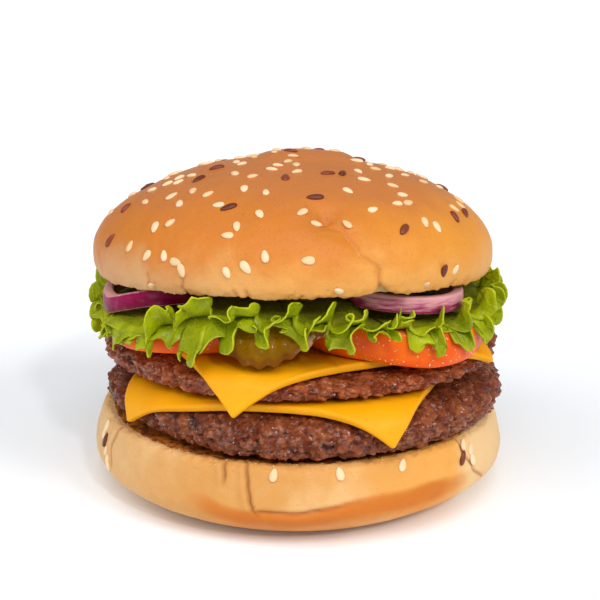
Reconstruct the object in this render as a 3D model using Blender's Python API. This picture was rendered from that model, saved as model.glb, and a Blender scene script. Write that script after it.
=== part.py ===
"""A double cheeseburger on a seeded bun, as separate layers stacked from the bottom bun to the top bun.

Run with: blender --background --python part.py
The burger's front faces -Y, azimuths count anticlockwise from +X, and the bottom bun's foot lies on z = 0.
Sizes are in millimetres and angles in degrees, and each mesh is scaled to metres as it is made.
"""

import math
import random

import bmesh
import bpy
from mathutils import Vector, noise

MM = 0.001
GAP = 0.3  # air between layers that touch

# Bottom bun
HEEL_HEIGHT = 21.0
HEEL_RIM_RADIUS = 54.0
HEEL_SIDE = (  # radius and height, from the foot to the toasted rim
    (43.0, 0.0), (47.0, 1.3), (50.6, 3.2), (53.6, 5.2), (55.8, 7.2), (56.8, 9.8), (56.5, 13.0),
    (55.6, 16.5), (54.4, 20.0),
)
HEEL_CENTRE = (-0.7, 0.0)
HEEL_HOLLOW = 0.4  # how far the toasted face dips inside its rim
HEEL_SLOPE = 0.025  # how much higher the face is for each millimetre nearer to the front

# Top bun, in its own frame, where the cut face lies on z = 0
CROWN_RADIUS = 54.4
CROWN_RIM_RADIUS = 51.6
CROWN_BELLY_HEIGHT = 6.5
CROWN_DOME_HEIGHT = 24.9
CROWN_HOLLOW = 4.2  # how far the fillings press the cut face in
CROWN_CENTRE = (-1.8, -2.0)
CROWN_BASE = 57.8
CROWN_TILT = 9.2  # the toppings at the front lift that side

# Beef patties. Hand-pressed, so the radius is given as (azimuth, radius) keys round the patty
PATTY_EDGE = 8.0  # how far the rounded edge reaches in
PRESSED = 0.55  # below 1 for an edge squarer than a quarter circle
LOWER_PATTY = (
    (-180, 54.0), (-165, 52.5), (-145, 50.2), (-128, 51.0), (-108, 54.5), (-60, 56.0), (-20, 56.0),
    (90, 55.0),
)
UPPER_PATTY = ((-180, 54.3), (-140, 52.5), (-100, 53.0), (-60, 53.6), (-20, 54.2), (90, 54.5))

# Processed cheese slices
SLICE_SIDE = 78.5
SLICE_THICKNESS = 2.2

# Tomato, pickle, onion and lettuce
TOMATO_RADIUS = 24.6
TOMATO_CENTRES = ((-25.7, -17.8), (23.5, -21.5))
PICKLE_RADIUS = 16.8
PICKLE_THICKNESS = 3.4
PICKLE_CENTRE = (-7.0, -36.4)
ONION_WALL = 3.0
ONION_HEIGHT = 4.8
ONION_LEFT = (-32.4, -18.6, 19.2)  # centre x, centre y and radius
ONION_RIGHT = (24.0, -25.5, 18.0)
LEAF_THICKNESS = 0.6
CLEAR = 0.72  # from the middle of a leaf to anything it bends round

# Seeds: length, width and height of one seed
SESAME = (3.3, 2.1, 0.9)
FLAX = (4.3, 2.2, 1.1)
SEED_DRAW = 11
# Least climb of the top bun's close seed cover, by azimuth
CLOSE_COVER = ((-180, 20), (-152, 22), (-120, 43), (-60, 47), (-35, 29), (0, 20), (90, 30))
# Where the fold in the top bun's front runs: height and x
CROWN_FOLD = ((0.5, 21.5), (6.5, 21.0), (11.5, 16.1), (16.0, 13.0), (19.0, 8.0), (25.5, 1.2))
# Seeds that lie alone on the front: azimuth, climb, turn of the pointed end, and 1 for flax
FRONT_SEEDS = (
    (-106, 25, 285, 0), (-108, 20, 180, 0), (-100, 32, 300, 0), (-111, 36, 215, 1), (-115, 37, 190, 0),
    (-128, 25, 55, 0), (-133, 22, 290, 0), (-130, 36, 125, 0), (-158, 30, 105, 1), (-152, 11, 55, 1),
    (-140, 10, 75, 0), (-132, 6, 235, 0), (-126, 7, 105, 0), (-122, 4, 350, 0), (-120, -2, 285, 0),
    (-107, -1, 295, 0), (-102, 3, 310, 0), (-97, 9, 100, 0), (-131, -45, 45, 0), (-82, 43, 185, 1),
    (-87, 34, 220, 0), (-83, 29, 340, 0), (-74, 27, 125, 0), (-64, 34, 20, 0), (-53, 37, 175, 0),
    (-48, 37, 10, 0), (-57, 22, 220, 1), (-48, 25, 250, 0), (-44, 22, 265, 0), (-32, 26, 255, 1),
    (-22, 27, 210, 1), (-86, 7, 180, 0), (-78, -45, 125, 0), (-46, -25, 310, 1),
)


def smooth(low, high, value):
    """0 below low, 1 above high, and an S curve between them."""
    t = min(1.0, max(0.0, (value - low) / (high - low)))
    return t * t * (3 - 2 * t)


def mix(a, b, share):
    return a + (b - a) * share


def lumps(point, size, seed):
    """Smooth noise from -1 to 1 whose bumps are about size across."""
    return noise.noise(Vector(point) / size + Vector((seed * 7.3, seed * 3.1, seed * 5.7)))


def polar(radius, azimuth, centre=(0.0, 0.0)):
    turn = math.radians(azimuth)
    return centre[0] + radius * math.cos(turn), centre[1] + radius * math.sin(turn)


def keyed(keys, azimuth):
    """A value that runs smoothly round the burger through (azimuth, value) keys."""
    azimuth = (azimuth + 180.0) % 360.0 - 180.0
    before = [key for key in keys if key[0] <= azimuth]
    after = [key for key in keys if key[0] > azimuth]
    low = before[-1] if before else (keys[-1][0] - 360.0, keys[-1][1])
    high = after[0] if after else (keys[0][0] + 360.0, keys[0][1])
    return mix(low[1], high[1], smooth(low[0], high[0], azimuth))


# Heights of the layers, as surfaces over the plan


def heel_top(x, y):
    return HEEL_HEIGHT - HEEL_SLOPE * y


def lower_patty_bottom(x, y):
    return heel_top(x, y) + GAP


def lower_patty_top(x, y):
    return 31.8 + 0.012 * x - 0.0625 * y


def upper_patty_bottom(x, y):
    return lower_patty_top(x, y) + 2 * GAP + SLICE_THICKNESS


def upper_patty_top(x, y):
    return 43.3 - 0.0287 * x - 0.02 * y


def upper_patty_crown(x, y):
    """The upper patty's own top: it stands up at its right end, past the cheese."""
    return upper_patty_top(x, y) + 3.5 * smooth(46, 51, x) * smooth(-16, -9, y) * (1 - smooth(14, 24, y))


def sag(x, y):
    """How far soft toppings hang down past the patty's edge."""
    return 0.022 * max(0.0, math.hypot(x, y) - 45.5) ** 2


def tomato_bottom(x, y):
    return upper_patty_top(x, y) + 2 * GAP + SLICE_THICKNESS + 0.3 - sag(x, y)


def tomato_top(x, y):
    return 53.0 - 0.055 * y - sag(x, y)


def crown_bottom(x, y):
    """The cut face of the top bun, over the plan."""
    reach = min(1.0, math.hypot(x - CROWN_CENTRE[0], y - CROWN_CENTRE[1]) / CROWN_RIM_RADIUS)
    plane = CROWN_BASE - math.tan(math.radians(CROWN_TILT)) * (y - CROWN_CENTRE[1])
    return plane + CROWN_HOLLOW * (1 - reach**4)


# Meshes


def new_material(name, colour, roughness):
    material = bpy.data.materials.new(name)
    material.use_nodes = True
    shader = material.node_tree.nodes["Principled BSDF"]
    shader.inputs["Base Color"].default_value = (*colour, 1.0)
    shader.inputs["Roughness"].default_value = roughness
    shader.inputs["Metallic"].default_value = 0.0
    material.diffuse_color = (*colour, 1.0)
    return material


def new_object(name, bm, material):
    """The bmesh as an object, in metres, triangulated so that both faces of a thin piece split alike."""
    bmesh.ops.triangulate(bm, faces=bm.faces)
    bmesh.ops.scale(bm, vec=(MM, MM, MM), verts=bm.verts)
    mesh = bpy.data.meshes.new(name)
    bm.to_mesh(mesh)
    bm.free()
    mesh.materials.append(material)
    mesh.shade_smooth()
    mesh.set_sharp_from_angle(angle=math.radians(50))
    made = bpy.data.objects.new(name, mesh)
    bpy.context.scene.collection.objects.link(made)
    return made


def skin(rows):
    """A closed bmesh from rows of points round the shape. The first and last rows are single points."""
    bm = bmesh.new()
    rings = [[bm.verts.new(point) for point in row] for row in rows]
    for low, high in zip(rings, rings[1:]):
        count = max(len(low), len(high))
        for i in range(count):
            j = (i + 1) % count
            corners = [low[i % len(low)], low[j % len(low)], high[j % len(high)], high[i % len(high)]]
            bm.faces.new(list(dict.fromkeys(corners)))
    bmesh.ops.recalc_face_normals(bm, faces=bm.faces)
    return bm


def sheet(rows, closed=False):
    """An open bmesh from equal rows of points, facing up."""
    bm = bmesh.new()
    lines = [[bm.verts.new(point) for point in row] for row in rows]
    for low, high in zip(lines, lines[1:]):
        for i in range(len(low) if closed else len(low) - 1):
            j = (i + 1) % len(low)
            bm.faces.new((low[i], low[j], high[j], high[i]))
    return bm


def thicken(made, thickness):
    """Gives a sheet its thickness, half to each side."""
    solidify = made.modifiers.new("thickness", "SOLIDIFY")
    solidify.thickness = thickness * MM
    solidify.offset = 0.0
    solidify.use_even_offset = False


def fuse(made, pieces):
    """Joins pieces to an object with one Boolean union, applies it and removes them."""
    group = bpy.data.collections.new(made.name + "_toppings")
    bpy.context.scene.collection.children.link(group)
    for piece in pieces:
        bpy.context.scene.collection.objects.unlink(piece)
        group.objects.link(piece)
    union = made.modifiers.new("toppings", "BOOLEAN")
    union.operation = "UNION"
    union.operand_type = "COLLECTION"
    union.collection = group
    union.solver = "EXACT"
    graph = bpy.context.evaluated_depsgraph_get()
    joined = bpy.data.meshes.new_from_object(made.evaluated_get(graph))
    made.modifiers.remove(union)
    made.data = joined
    for piece in pieces:
        bpy.data.objects.remove(piece)
    bpy.data.collections.remove(group)


# Seeds


def seed_solid(name, crust, near, turn, material, dark):
    """One seed, a flat teardrop of six sides, half sunk in the crust at the point nearest to near."""
    length, width, height = FLAX if material is dark else SESAME
    _, place, up, _ = crust.closest_point_on_mesh(near * MM)
    place = place / MM
    along = Vector((0.0, 0.0, 1.0)).cross(up)
    along = (along if along.length > 0.1 else Vector((1.0, 0.0, 0.0))).normalized()
    across = up.cross(along)
    direction = along * math.cos(turn) + across * math.sin(turn)
    side = up.cross(direction)
    outline = ((0.5, 0.0), (0.18, 0.46), (-0.28, 0.42), (-0.5, 0.0), (-0.28, -0.42), (0.18, -0.46))
    waist = [place + direction * length * u + side * width * v + up * 0.15 * height for u, v in outline]
    bm = skin([[place - up * 1.3 * height], waist, [place + up * 0.75 * height]])
    return new_object(name, bm, material)


# Buns


def bun_bottom(material, pale, dark):
    sides = 52
    top = HEEL_HEIGHT - HEEL_HOLLOW
    face = ((HEEL_RIM_RADIUS - 0.9, HEEL_HEIGHT), (HEEL_RIM_RADIUS - 4.0, top))
    rows = [[(*HEEL_CENTRE, 0.0)]]
    for radius, height in (*HEEL_SIDE, *face):
        row = []
        for i in range(sides):
            azimuth = 360 * i / sides
            x, y = polar(radius, azimuth)
            puff = 0.7 * lumps((x, y, 0), 30, 1) * smooth(0, 4, height) * smooth(40, 50, radius)
            x, y = polar(radius + puff, azimuth, HEEL_CENTRE)
            row.append((x, y, height - HEEL_SLOPE * y * smooth(9, 20, height)))
        rows.append(row)
    rows.append([(*HEEL_CENTRE, top)])
    made = new_object("bun_bottom", skin(rows), material)
    seeds = []
    # Each seed: azimuth, height up the side, kind, and turn of its long side
    placed = (
        (-157, 19.5, pale, 80), (-155, 15, pale, 95), (-160, 13, dark, 75), (-157, 9, pale, 80),
        (-97, 20, pale, 80), (-80, 20.3, pale, 100), (-64, 20.3, pale, 70),
        (-46, 20, pale, 120), (-42, 17, dark, 60), (-38, 18, pale, 80), (-36, 14, pale, 60),
        (-41, 13.5, pale, 95), (20, 14, pale, 60), (70, 12, pale, 100), (115, 15, dark, 80),
        (150, 13, pale, 70),
    )
    for number, (azimuth, height, kind, turn) in enumerate(placed):
        near = Vector((*polar(60.0, azimuth, HEEL_CENTRE), height))
        seeds.append(seed_solid(f"heel_seed_{number}", made, near, math.radians(turn), kind, dark))
    fuse(made, seeds)
    return made


def crown_relief(x, y, z):
    """How far the top bun's crust stands out: a raised lobe, a dimple and a soft fold."""
    lobe = 1.6 * smooth(-13, -4, x) * smooth(19, 13, x) * smooth(-15, -1, y) * smooth(34, 20, y)
    dimple = -2.2 * math.exp(-(((x - 8.0) ** 2 + (y + 45.0) ** 2 + (z - 18.8) ** 2) / 5.0**2))
    fold_x = keyed(CROWN_FOLD, z)
    fold = -1.2 * math.exp(-(((x - fold_x) / 3.0) ** 2)) * smooth(24, 14, z) if y < -20 else 0.0
    swell = 0.8 * lumps((x, y, z), 26, 2)
    return lobe + dimple + fold + swell


def crown_point(azimuth, climb):
    """A point on the top bun's crust and its outward direction, in its own frame.

    climb is -90 at the cut edge, 0 at the belly and 90 on top.
    """
    turn = math.radians(climb)
    if climb < 0:
        radius = mix(CROWN_RIM_RADIUS, CROWN_RADIUS, math.cos(turn))
        height = CROWN_BELLY_HEIGHT * (1 + math.sin(turn))
    else:
        radius = CROWN_RADIUS * math.cos(turn)
        height = CROWN_BELLY_HEIGHT + CROWN_DOME_HEIGHT * math.sin(turn)
    x, y = polar(radius, azimuth)
    lean = max(climb, -40)
    flat = math.cos(math.radians(lean)) * CROWN_DOME_HEIGHT
    rise = math.sin(math.radians(lean)) * CROWN_RADIUS
    outward = Vector((*polar(flat, azimuth), rise)).normalized()
    return Vector((x, y, height)) + outward * crown_relief(x, y, height), outward


def crown_seeds(crust, pale, dark):
    """Seeds of the top bun: a few low on the front, close cover on top, and a few low at the back."""
    draw = random.Random(SEED_DRAW)
    placed = []
    for azimuth, climb, turn, flax in FRONT_SEEDS:
        placed.append((crown_point(azimuth, climb)[0], math.radians(turn), dark if flax else pale))
    for wanted, back in ((84, False), (12, True)):
        found = 0
        while found < wanted:
            azimuth = draw.uniform(10, 170) if back else draw.uniform(-180, 180)
            climb = math.degrees(math.asin(math.sqrt(draw.uniform(0.0, 0.998))))
            close = keyed(CLOSE_COVER, azimuth)
            point, turn = crown_point(azimuth, climb)[0], draw.uniform(0, 2 * math.pi)
            kind = dark if draw.random() < 0.2 else pale
            if (climb < close) != back or any((point - other).length < 3.8 for other, _, _ in placed):
                continue
            placed.append((point, turn, kind))
            found += 1
    return [
        seed_solid(f"crown_seed_{i}", crust, point, turn, kind, dark)
        for i, (point, turn, kind) in enumerate(placed)
    ]


def bun_top(material, pale, dark):
    sides = 44
    climbs = (-90, -60, -30, 0, 13, 26, 39, 52, 65, 78)
    rows = [[(0, 0, CROWN_HOLLOW)]]
    for share in (0.5, 0.8):
        ring = [polar(CROWN_RIM_RADIUS * share, 360 * i / sides) for i in range(sides)]
        rows.append([(x, y, CROWN_HOLLOW * (1 - share**4)) for x, y in ring])
    for climb in climbs:
        rows.append([crown_point(360 * i / sides, climb)[0] for i in range(sides)])
    rows.append([crown_point(0, 90)[0]])
    made = new_object("bun_top", skin(rows), material)
    fuse(made, crown_seeds(made, pale, dark))
    made.location = (CROWN_CENTRE[0] * MM, CROWN_CENTRE[1] * MM, CROWN_BASE * MM)
    made.rotation_euler.x = -math.radians(CROWN_TILT)
    return made


# Beef


def patty_radius(azimuth, outline, seed):
    return keyed(outline, azimuth) - 0.5 + 0.8 * lumps((*polar(30.0, azimuth), 0), 14, seed)


def patty(name, bottom, top, outline, seed, material):
    """A hand-pressed disc with crags all round its edge and pits in both faces."""
    sides = 44
    rows = [[(0, 0, bottom(0, 0))]]
    for lean in (-90, -90, -60, -25, 5, 35, 65, 90, 90):
        row = []
        inner = 0.55 if lean in (-90, 90) and len(rows) in (1, 9) else 1.0
        for i in range(sides):
            azimuth = 360 * i / sides
            rim = patty_radius(azimuth, outline, seed)
            turn = math.radians(lean)
            # The edge is rounder above than below, where the patty was pressed on the plate
            bulge = abs(math.cos(turn)) ** (PRESSED if turn < 0 else 1.0)
            reach = (rim - PATTY_EDGE + PATTY_EDGE * bulge) * inner
            x, y = polar(reach, azimuth)
            low, high = bottom(x, y), top(x, y)
            z = mix(low, high, 0.5 + 0.5 * math.sin(turn))
            crag = 0.5 + 0.5 * lumps((x, y, z), 5.0, seed + 2)
            pit = 1.5 * crag * math.cos(turn) ** 0.5 if abs(lean) < 90 else 0.0
            x, y = polar(reach - pit, azimuth)
            z -= 0.6 * crag * math.sin(turn)
            row.append((x, y, z))
        rows.append(row)
    rows.append([(0, 0, top(0, 0) - 0.3)])
    return new_object(name, skin(rows), material)


# Cheese


def drape(distance, edge, half, steepest):
    """Plan radius and drop of a slice that bends down over a patty's rounded edge.

    distance is the flat distance from the centre, edge the radius where the patty starts to round off,
    half its half thickness, and steepest the slope at which the slice hangs on.
    """
    across = PATTY_EDGE + 0.5 * SLICE_THICKNESS + GAP + 0.3
    down = half + 0.5 * SLICE_THICKNESS + GAP
    if distance <= edge:
        return distance, 0.0
    left = distance - edge
    radius, drop, turn, step = edge, 0.0, 0.0, math.radians(3)
    while math.degrees(turn) < 90:
        dr = across * math.cos(turn) * step
        dz = down * math.sin(turn) * step
        if math.degrees(math.atan2(dz, dr)) > steepest:
            break
        length = math.hypot(dr, dz)
        if left < length:
            return radius + dr * left / length, drop + dz * left / length
        left -= length
        radius += dr
        drop += dz
        turn += step
    lean = math.radians(steepest)
    return radius + left * math.cos(lean), drop + left * math.sin(lean)


def cheese(name, centre, turn, base, outline, seed, half, steepest, material):
    """A square slice laid on a patty, its corners hanging down the patty's side."""
    steps = 10
    rows = []
    for i in range(steps + 1):
        row = []
        for j in range(steps + 1):
            # The outer cells are small, so that the edge stays round and crisp
            u = SLICE_SIDE * (0.5 - 0.5 * math.cos(math.pi * (0.06 + 0.88 * i / steps))) - SLICE_SIDE / 2
            v = SLICE_SIDE * (0.5 - 0.5 * math.cos(math.pi * (0.06 + 0.88 * j / steps))) - SLICE_SIDE / 2
            u, v = u / math.cos(math.pi * 0.06), v / math.cos(math.pi * 0.06)
            ct, st = math.cos(math.radians(turn)), math.sin(math.radians(turn))
            x, y = centre[0] + u * ct - v * st, centre[1] + u * st + v * ct
            azimuth = math.degrees(math.atan2(y, x))
            edge = patty_radius(azimuth, outline, seed) - PATTY_EDGE + 0.4
            reach, drop = drape(math.hypot(x, y), edge, half, keyed(steepest, azimuth))
            x, y = polar(reach, azimuth)
            row.append((x, y, base(x, y) + GAP + 0.1 + SLICE_THICKNESS / 2 - drop))
        rows.append(row)
    made = new_object(name, sheet(rows), material)
    thicken(made, SLICE_THICKNESS)
    return made


# Tomato and pickle


def tomato(name, centre, material):
    sides = 28
    rows = [[(*centre, tomato_bottom(*centre))]]
    # (share of the radius, share of the height): the skin bulges a little between the two cut faces
    for share, climb in ((0.6, 0), (0.97, 0), (1.0, 0.35), (0.99, 0.75), (0.94, 1), (0.6, 1)):
        row = []
        for i in range(sides):
            azimuth = 360 * i / sides
            wide = TOMATO_RADIUS * (1 + 0.012 * math.cos(math.radians(5 * azimuth)))
            x, y = polar(wide * share, azimuth, centre)
            row.append((x, y, mix(tomato_bottom(x, y), tomato_top(x, y), climb)))
        rows.append(row)
    rows.append([(*centre, tomato_top(*centre))])
    return new_object(name, skin(rows), material)


def pickle_middle(x, y, lift):
    """Mid height of a pickle slice that lies on the tomatoes and hangs down in front of them."""
    hang = 0.105 * max(0.0, math.hypot(x, y) - 45.0) ** 2
    hang += 1.8 * smooth(-4, 8, x) * smooth(-38, -45, y)
    return tomato_top(x, y) + GAP + 0.5 * PICKLE_THICKNESS + 0.5 + lift - hang


def pickle(name, centre, radius, lift, material):
    """A crinkle-cut slice: both faces are ridged alike, the ridges running to the front."""
    sides, crinkle, ridge = 26, 0.45, 4.0
    rows = []
    for face in (-1, 1):
        middle = [(*centre, pickle_middle(*centre, lift) + face * PICKLE_THICKNESS / 2)]
        rings = []
        for share in (0.5, 0.96):
            ring = []
            for i in range(sides):
                x, y = polar(radius * share, 360 * i / sides, centre)
                wave = crinkle * math.cos(2 * math.pi * x / ridge)
                ring.append((x, y, pickle_middle(x, y, lift) + face * PICKLE_THICKNESS / 2 + wave))
            rings.append(ring)
        rows += [middle, *rings] if face < 0 else [*reversed(rings), middle]
    waist = []
    for i in range(sides):
        x, y = polar(radius, 360 * i / sides, centre)
        waist.append((x, y, pickle_middle(x, y, lift) + crinkle * math.cos(2 * math.pi * x / ridge)))
    rows.insert(3, waist)
    return new_object(name, skin(rows), material)


# Onion


def onion(name, centre, radius, height, middle, material):
    """One ring of a red onion slice. middle gives its mid height over the plan."""
    sides = 28
    rows = []
    inside = -ONION_WALL
    outline = ((-0.4, 0), (inside + 0.3, 0), (inside, 2), (inside + 0.3, 4), (-0.4, 4), (0.1, 2))
    bm = bmesh.new()
    for i in range(sides):
        azimuth = 360 * i / sides
        wide = radius * (1 + 0.03 * math.cos(math.radians(2 * azimuth + 40)))
        row = []
        for inset, level in outline:
            x, y = polar(wide + inset, azimuth, centre)
            row.append(bm.verts.new((x, y, middle(x, y) + height * (level / 4 - 0.5))))
        rows.append(row)
    for i in range(sides):
        low, high = rows[i], rows[(i + 1) % sides]
        for j in range(len(outline)):
            k = (j + 1) % len(outline)
            bm.faces.new((low[j], low[k], high[k], high[j]))
    bmesh.ops.recalc_face_normals(bm, faces=bm.faces)
    return new_object(name, bm, material)


def left_onion_middle(x, y):
    droop = 0.05 * max(0.0, -38.0 - x) ** 1.5
    lowest = leaf_floor(x, y) + 0.5 * (LEAF_THICKNESS + ONION_HEIGHT) + GAP + 0.15
    highest = crown_bottom(x, y) - 0.5 * ONION_HEIGHT - GAP
    return min(max(58.8 + 0.10 * (x + 32) - 0.17 * (y + 21) - droop, lowest), highest)


def right_onion_middle(x, y):
    lowest = leaf_floor(x, y) + 0.5 * (LEAF_THICKNESS + ONION_HEIGHT) + GAP + 0.15
    highest = crown_bottom(x, y) - 0.5 * ONION_HEIGHT - GAP
    return min(max(60.2 - 0.09 * (x - 24) - 0.06 * (y + 25.5), lowest), highest)


# Lettuce


# (azimuth, value) keys round the burger: mid height of the ruffled edge, how far it waves up and
# down from there, how far out it reaches, and where the ruffle starts
LEAF_HEIGHT = (
    (-180, 52), (-171, 51), (-164, 49), (-144, 49.3), (-134, 56), (-122, 58.5), (-112, 61), (-90, 61.5),
    (-78, 60), (-66, 59), (-60, 56), (-45, 56), (-30, 54), (-18, 55), (0, 52), (20, 50), (60, 47.5),
    (120, 47.5), (160, 50),
)
LEAF_FOLD = (
    (-180, 7), (-171, 5), (-164, 2.5), (-144, 2.5), (-134, 7.5), (-122, 8), (-112, 5), (-90, 5), (-78, 6),
    (-66, 5), (-60, 5), (-45, 7), (-30, 8.5), (-18, 9), (0, 7), (20, 4), (60, 2.5), (120, 2.5), (160, 5),
)
LEAF_REACH = (
    (-180, 56.5), (-162, 57.5), (-145, 58.5), (-120, 58), (-105, 57), (-75, 57), (-60, 57), (-42, 58),
    (-22, 56.3), (-5, 54), (30, 54), (60, 55), (120, 55), (160, 55),
)
LEAF_ROOT = (
    (-180, 47), (-155, 49.5), (-130, 49.5), (-108, 47), (-75, 47), (-60, 49), (-40, 50.5), (-22, 49),
    (-5, 46.5),
)
LEAF_LOWEST = 47.3
LEAF_FOLD_LENGTH = 12.0  # plan length of one ruffle along the edge


def leaf_floor(x, y):
    """Mid height of the flat part of a leaf, between the tomatoes or cheese below and the onions above."""
    floor = tomato_top(x, y) + GAP + LEAF_THICKNESS / 2 + 0.2 - 4.5 * smooth(2, 38, y)
    floor += sag(x, y) * smooth(2, 20, y)
    above = pickle_middle(x, y, 0.0) + 0.5 * PICKLE_THICKNESS + 0.45 + GAP + LEAF_THICKNESS / 2
    from_pickle = math.hypot(x - PICKLE_CENTRE[0], y - PICKLE_CENTRE[1]) - PICKLE_RADIUS
    return mix(max(floor, above), floor, smooth(2.5, 8.0, from_pickle))


def settle(point):
    """Moves a point of a leaf, the short way, clear of the bun above and the toppings it hangs round."""
    x, y, z = point
    for _ in range(2):
        # Each disc: centre x and y, radius, how far z is inside it, and whether up or down is free
        discs = [(*CROWN_CENTRE, CROWN_RADIUS + 0.2, z - crown_bottom(x, y), -1)]
        for ring, middle in ((ONION_LEFT, left_onion_middle), (ONION_RIGHT, right_onion_middle)):
            discs.append((*ring[:2], ring[2] * 1.03, z - (middle(x, y) - 0.5 * ONION_HEIGHT), -1))
        top = pickle_middle(x, y, 0.0) + 0.5 * PICKLE_THICKNESS + 0.45
        discs.append((*PICKLE_CENTRE, PICKLE_RADIUS, top - z, 1))
        for centre in TOMATO_CENTRES:
            discs.append((*centre, TOMATO_RADIUS * 1.012 + 0.4, tomato_top(x, y) - z, 1))
        for cx, cy, radius, depth, free in discs:
            across = math.hypot(x - cx, y - cy)
            inside = radius + CLEAR - across
            depth += CLEAR
            if inside <= 0 or depth <= 0:
                continue
            if inside < depth:
                x, y = cx + (x - cx) * (radius + CLEAR) / across, cy + (y - cy) * (radius + CLEAR) / across
            else:
                z += free * depth
    return x, y, z


def leaf_point(azimuth, out):
    """A point of the ruffle. out runs from 0 at its root to 1 at the edge, which waves up and down."""
    start = keyed(LEAF_ROOT, azimuth)
    root = leaf_floor(*polar(start, azimuth))
    along = 2 * math.pi * 55.0 * azimuth / 360.0
    wander = 2.3 * lumps((along, 0, 0), 22, 5)
    phase = 2 * math.pi * along / LEAF_FOLD_LENGTH + wander
    strength = 1 + 0.55 * lumps((along, 9, 0), 13, 6)
    fold = keyed(LEAF_FOLD, azimuth) * strength * out**1.5
    reach = mix(start, keyed(LEAF_REACH, azimuth) + 1.0 * lumps((along, 0, 9), 18, 7), math.sqrt(out))
    wave = math.sin(phase) + 0.18 * math.sin(2.6 * phase + 1)
    height = mix(root, keyed(LEAF_HEIGHT, azimuth), out**1.3) + fold * wave
    height = max(height, LEAF_LOWEST)
    swing = -0.12 * LEAF_FOLD_LENGTH * out * math.sin(2 * phase)
    x, y = polar(reach - 0.18 * fold * math.sin(phase), azimuth + math.degrees(swing / reach))
    return settle((x, y, height)) if out > 0 else (x, y, height)


def lettuce(name, start, end, material):
    """A leaf between two azimuths: a flat part that runs in to the centre, and a ruffled edge."""
    per_fold = 6
    fine = max(8, 4 * round((end - start) / 360 * 2 * math.pi * 55 / LEAF_FOLD_LENGTH * per_fold / 4))
    fine_azimuths = [mix(start, end, i / fine) for i in range(fine + 1)]
    coarse_azimuths = fine_azimuths[::4]
    flat = []
    for radius in (1.5, 13.5, 18.0, 28.0, 39.0):
        places = [polar(radius, azimuth) for azimuth in coarse_azimuths]
        flat.append([(x, y, leaf_floor(x, y)) for x, y in places])
    bm = sheet(flat)
    bm.verts.ensure_lookup_table()
    inner = bm.verts[-len(coarse_azimuths):]
    frill = [[bm.verts.new(leaf_point(a, out)) for a in fine_azimuths] for out in (0, 0.4, 0.7, 1)]
    for j in range(len(inner) - 1):
        edge = frill[0][4 * j:4 * j + 5]
        for face in (
            (inner[j], edge[1], edge[0]), (inner[j], edge[2], edge[1]), (inner[j], inner[j + 1], edge[2]),
            (inner[j + 1], edge[3], edge[2]), (inner[j + 1], edge[4], edge[3]),
        ):
            bm.faces.new(face)
    for low, high in zip(frill, frill[1:]):
        for i in range(fine):
            bm.faces.new((low[i], low[i + 1], high[i + 1], high[i]))
    bmesh.ops.recalc_face_normals(bm, faces=bm.faces)
    made = new_object(name, bm, material)
    thicken(made, LEAF_THICKNESS)
    return made


def main():
    for old in list(bpy.data.objects):
        bpy.data.objects.remove(old)
    crust = new_material("bun_crust", (0.72, 0.37, 0.13), 0.5)
    heel_crust = new_material("bun_pale_crust", (0.80, 0.50, 0.22), 0.6)
    sesame = new_material("sesame", (0.86, 0.70, 0.46), 0.5)
    flax = new_material("flax", (0.12, 0.05, 0.03), 0.35)
    beef = new_material("beef", (0.14, 0.06, 0.04), 0.45)
    yellow = new_material("cheese", (0.92, 0.47, 0.02), 0.35)
    red = new_material("tomato", (0.75, 0.11, 0.01), 0.25)
    olive = new_material("pickle", (0.30, 0.20, 0.01), 0.3)
    green = new_material("lettuce", (0.30, 0.45, 0.02), 0.4)
    purple = new_material("red_onion", (0.35, 0.07, 0.18), 0.3)

    bun_bottom(heel_crust, sesame, flax)
    patty("patty_lower", lower_patty_bottom, lower_patty_top, LOWER_PATTY, 20, beef)
    cheese("cheese_lower", (1.2, -7.8), -19.0, lower_patty_top, LOWER_PATTY, 20,
           5.2, ((-180, 72), (-140, 74), (-65, 70), (0, 50), (90, 50)), yellow)
    patty("patty_upper", upper_patty_bottom, upper_patty_crown, UPPER_PATTY, 40, beef)
    cheese("cheese_upper", (-0.9, -8.0), 27.0, upper_patty_top, UPPER_PATTY, 40,
           4.2, ((-180, 60), (-110, 62), (-60, 60), (-30, 70), (90, 50)), yellow)
    tomato("tomato_left", TOMATO_CENTRES[0], red)
    tomato("tomato_right", TOMATO_CENTRES[1], red)
    pickle("pickle_slice", PICKLE_CENTRE, PICKLE_RADIUS, 0.0, olive)
    lettuce("lettuce_left", -260.0, -64.5, green)
    lettuce("lettuce_right", -63.0, 98.5, green)
    onion("onion_left", ONION_LEFT[:2], ONION_LEFT[2], ONION_HEIGHT, left_onion_middle, purple)
    onion("onion_right", ONION_RIGHT[:2], ONION_RIGHT[2], ONION_HEIGHT, right_onion_middle, purple)
    bun_top(crust, sesame, flax)


main()
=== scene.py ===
# %% [markdown]
# # A double cheeseburger on a seeded bun
#
# The frame holds every layer of the burger as a plain solid: two halves of a bun, two patties, two
# slices of cheese, two of tomato, one of pickle, two onion rings and two lettuce leaves. This
# lesson gives each layer its real surface. Most layers follow a rule, so the rule that shaped the
# solid is written again here and read on a much finer mesh, with the small relief that only the eye
# needs. All lengths are in millimetres and angles in degrees, and a mesh turns into metres in one
# place, as it is made.

# %% Start from the frame
import math
import random

import bmesh
import bpy
from mathutils import Matrix, Vector, noise


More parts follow.
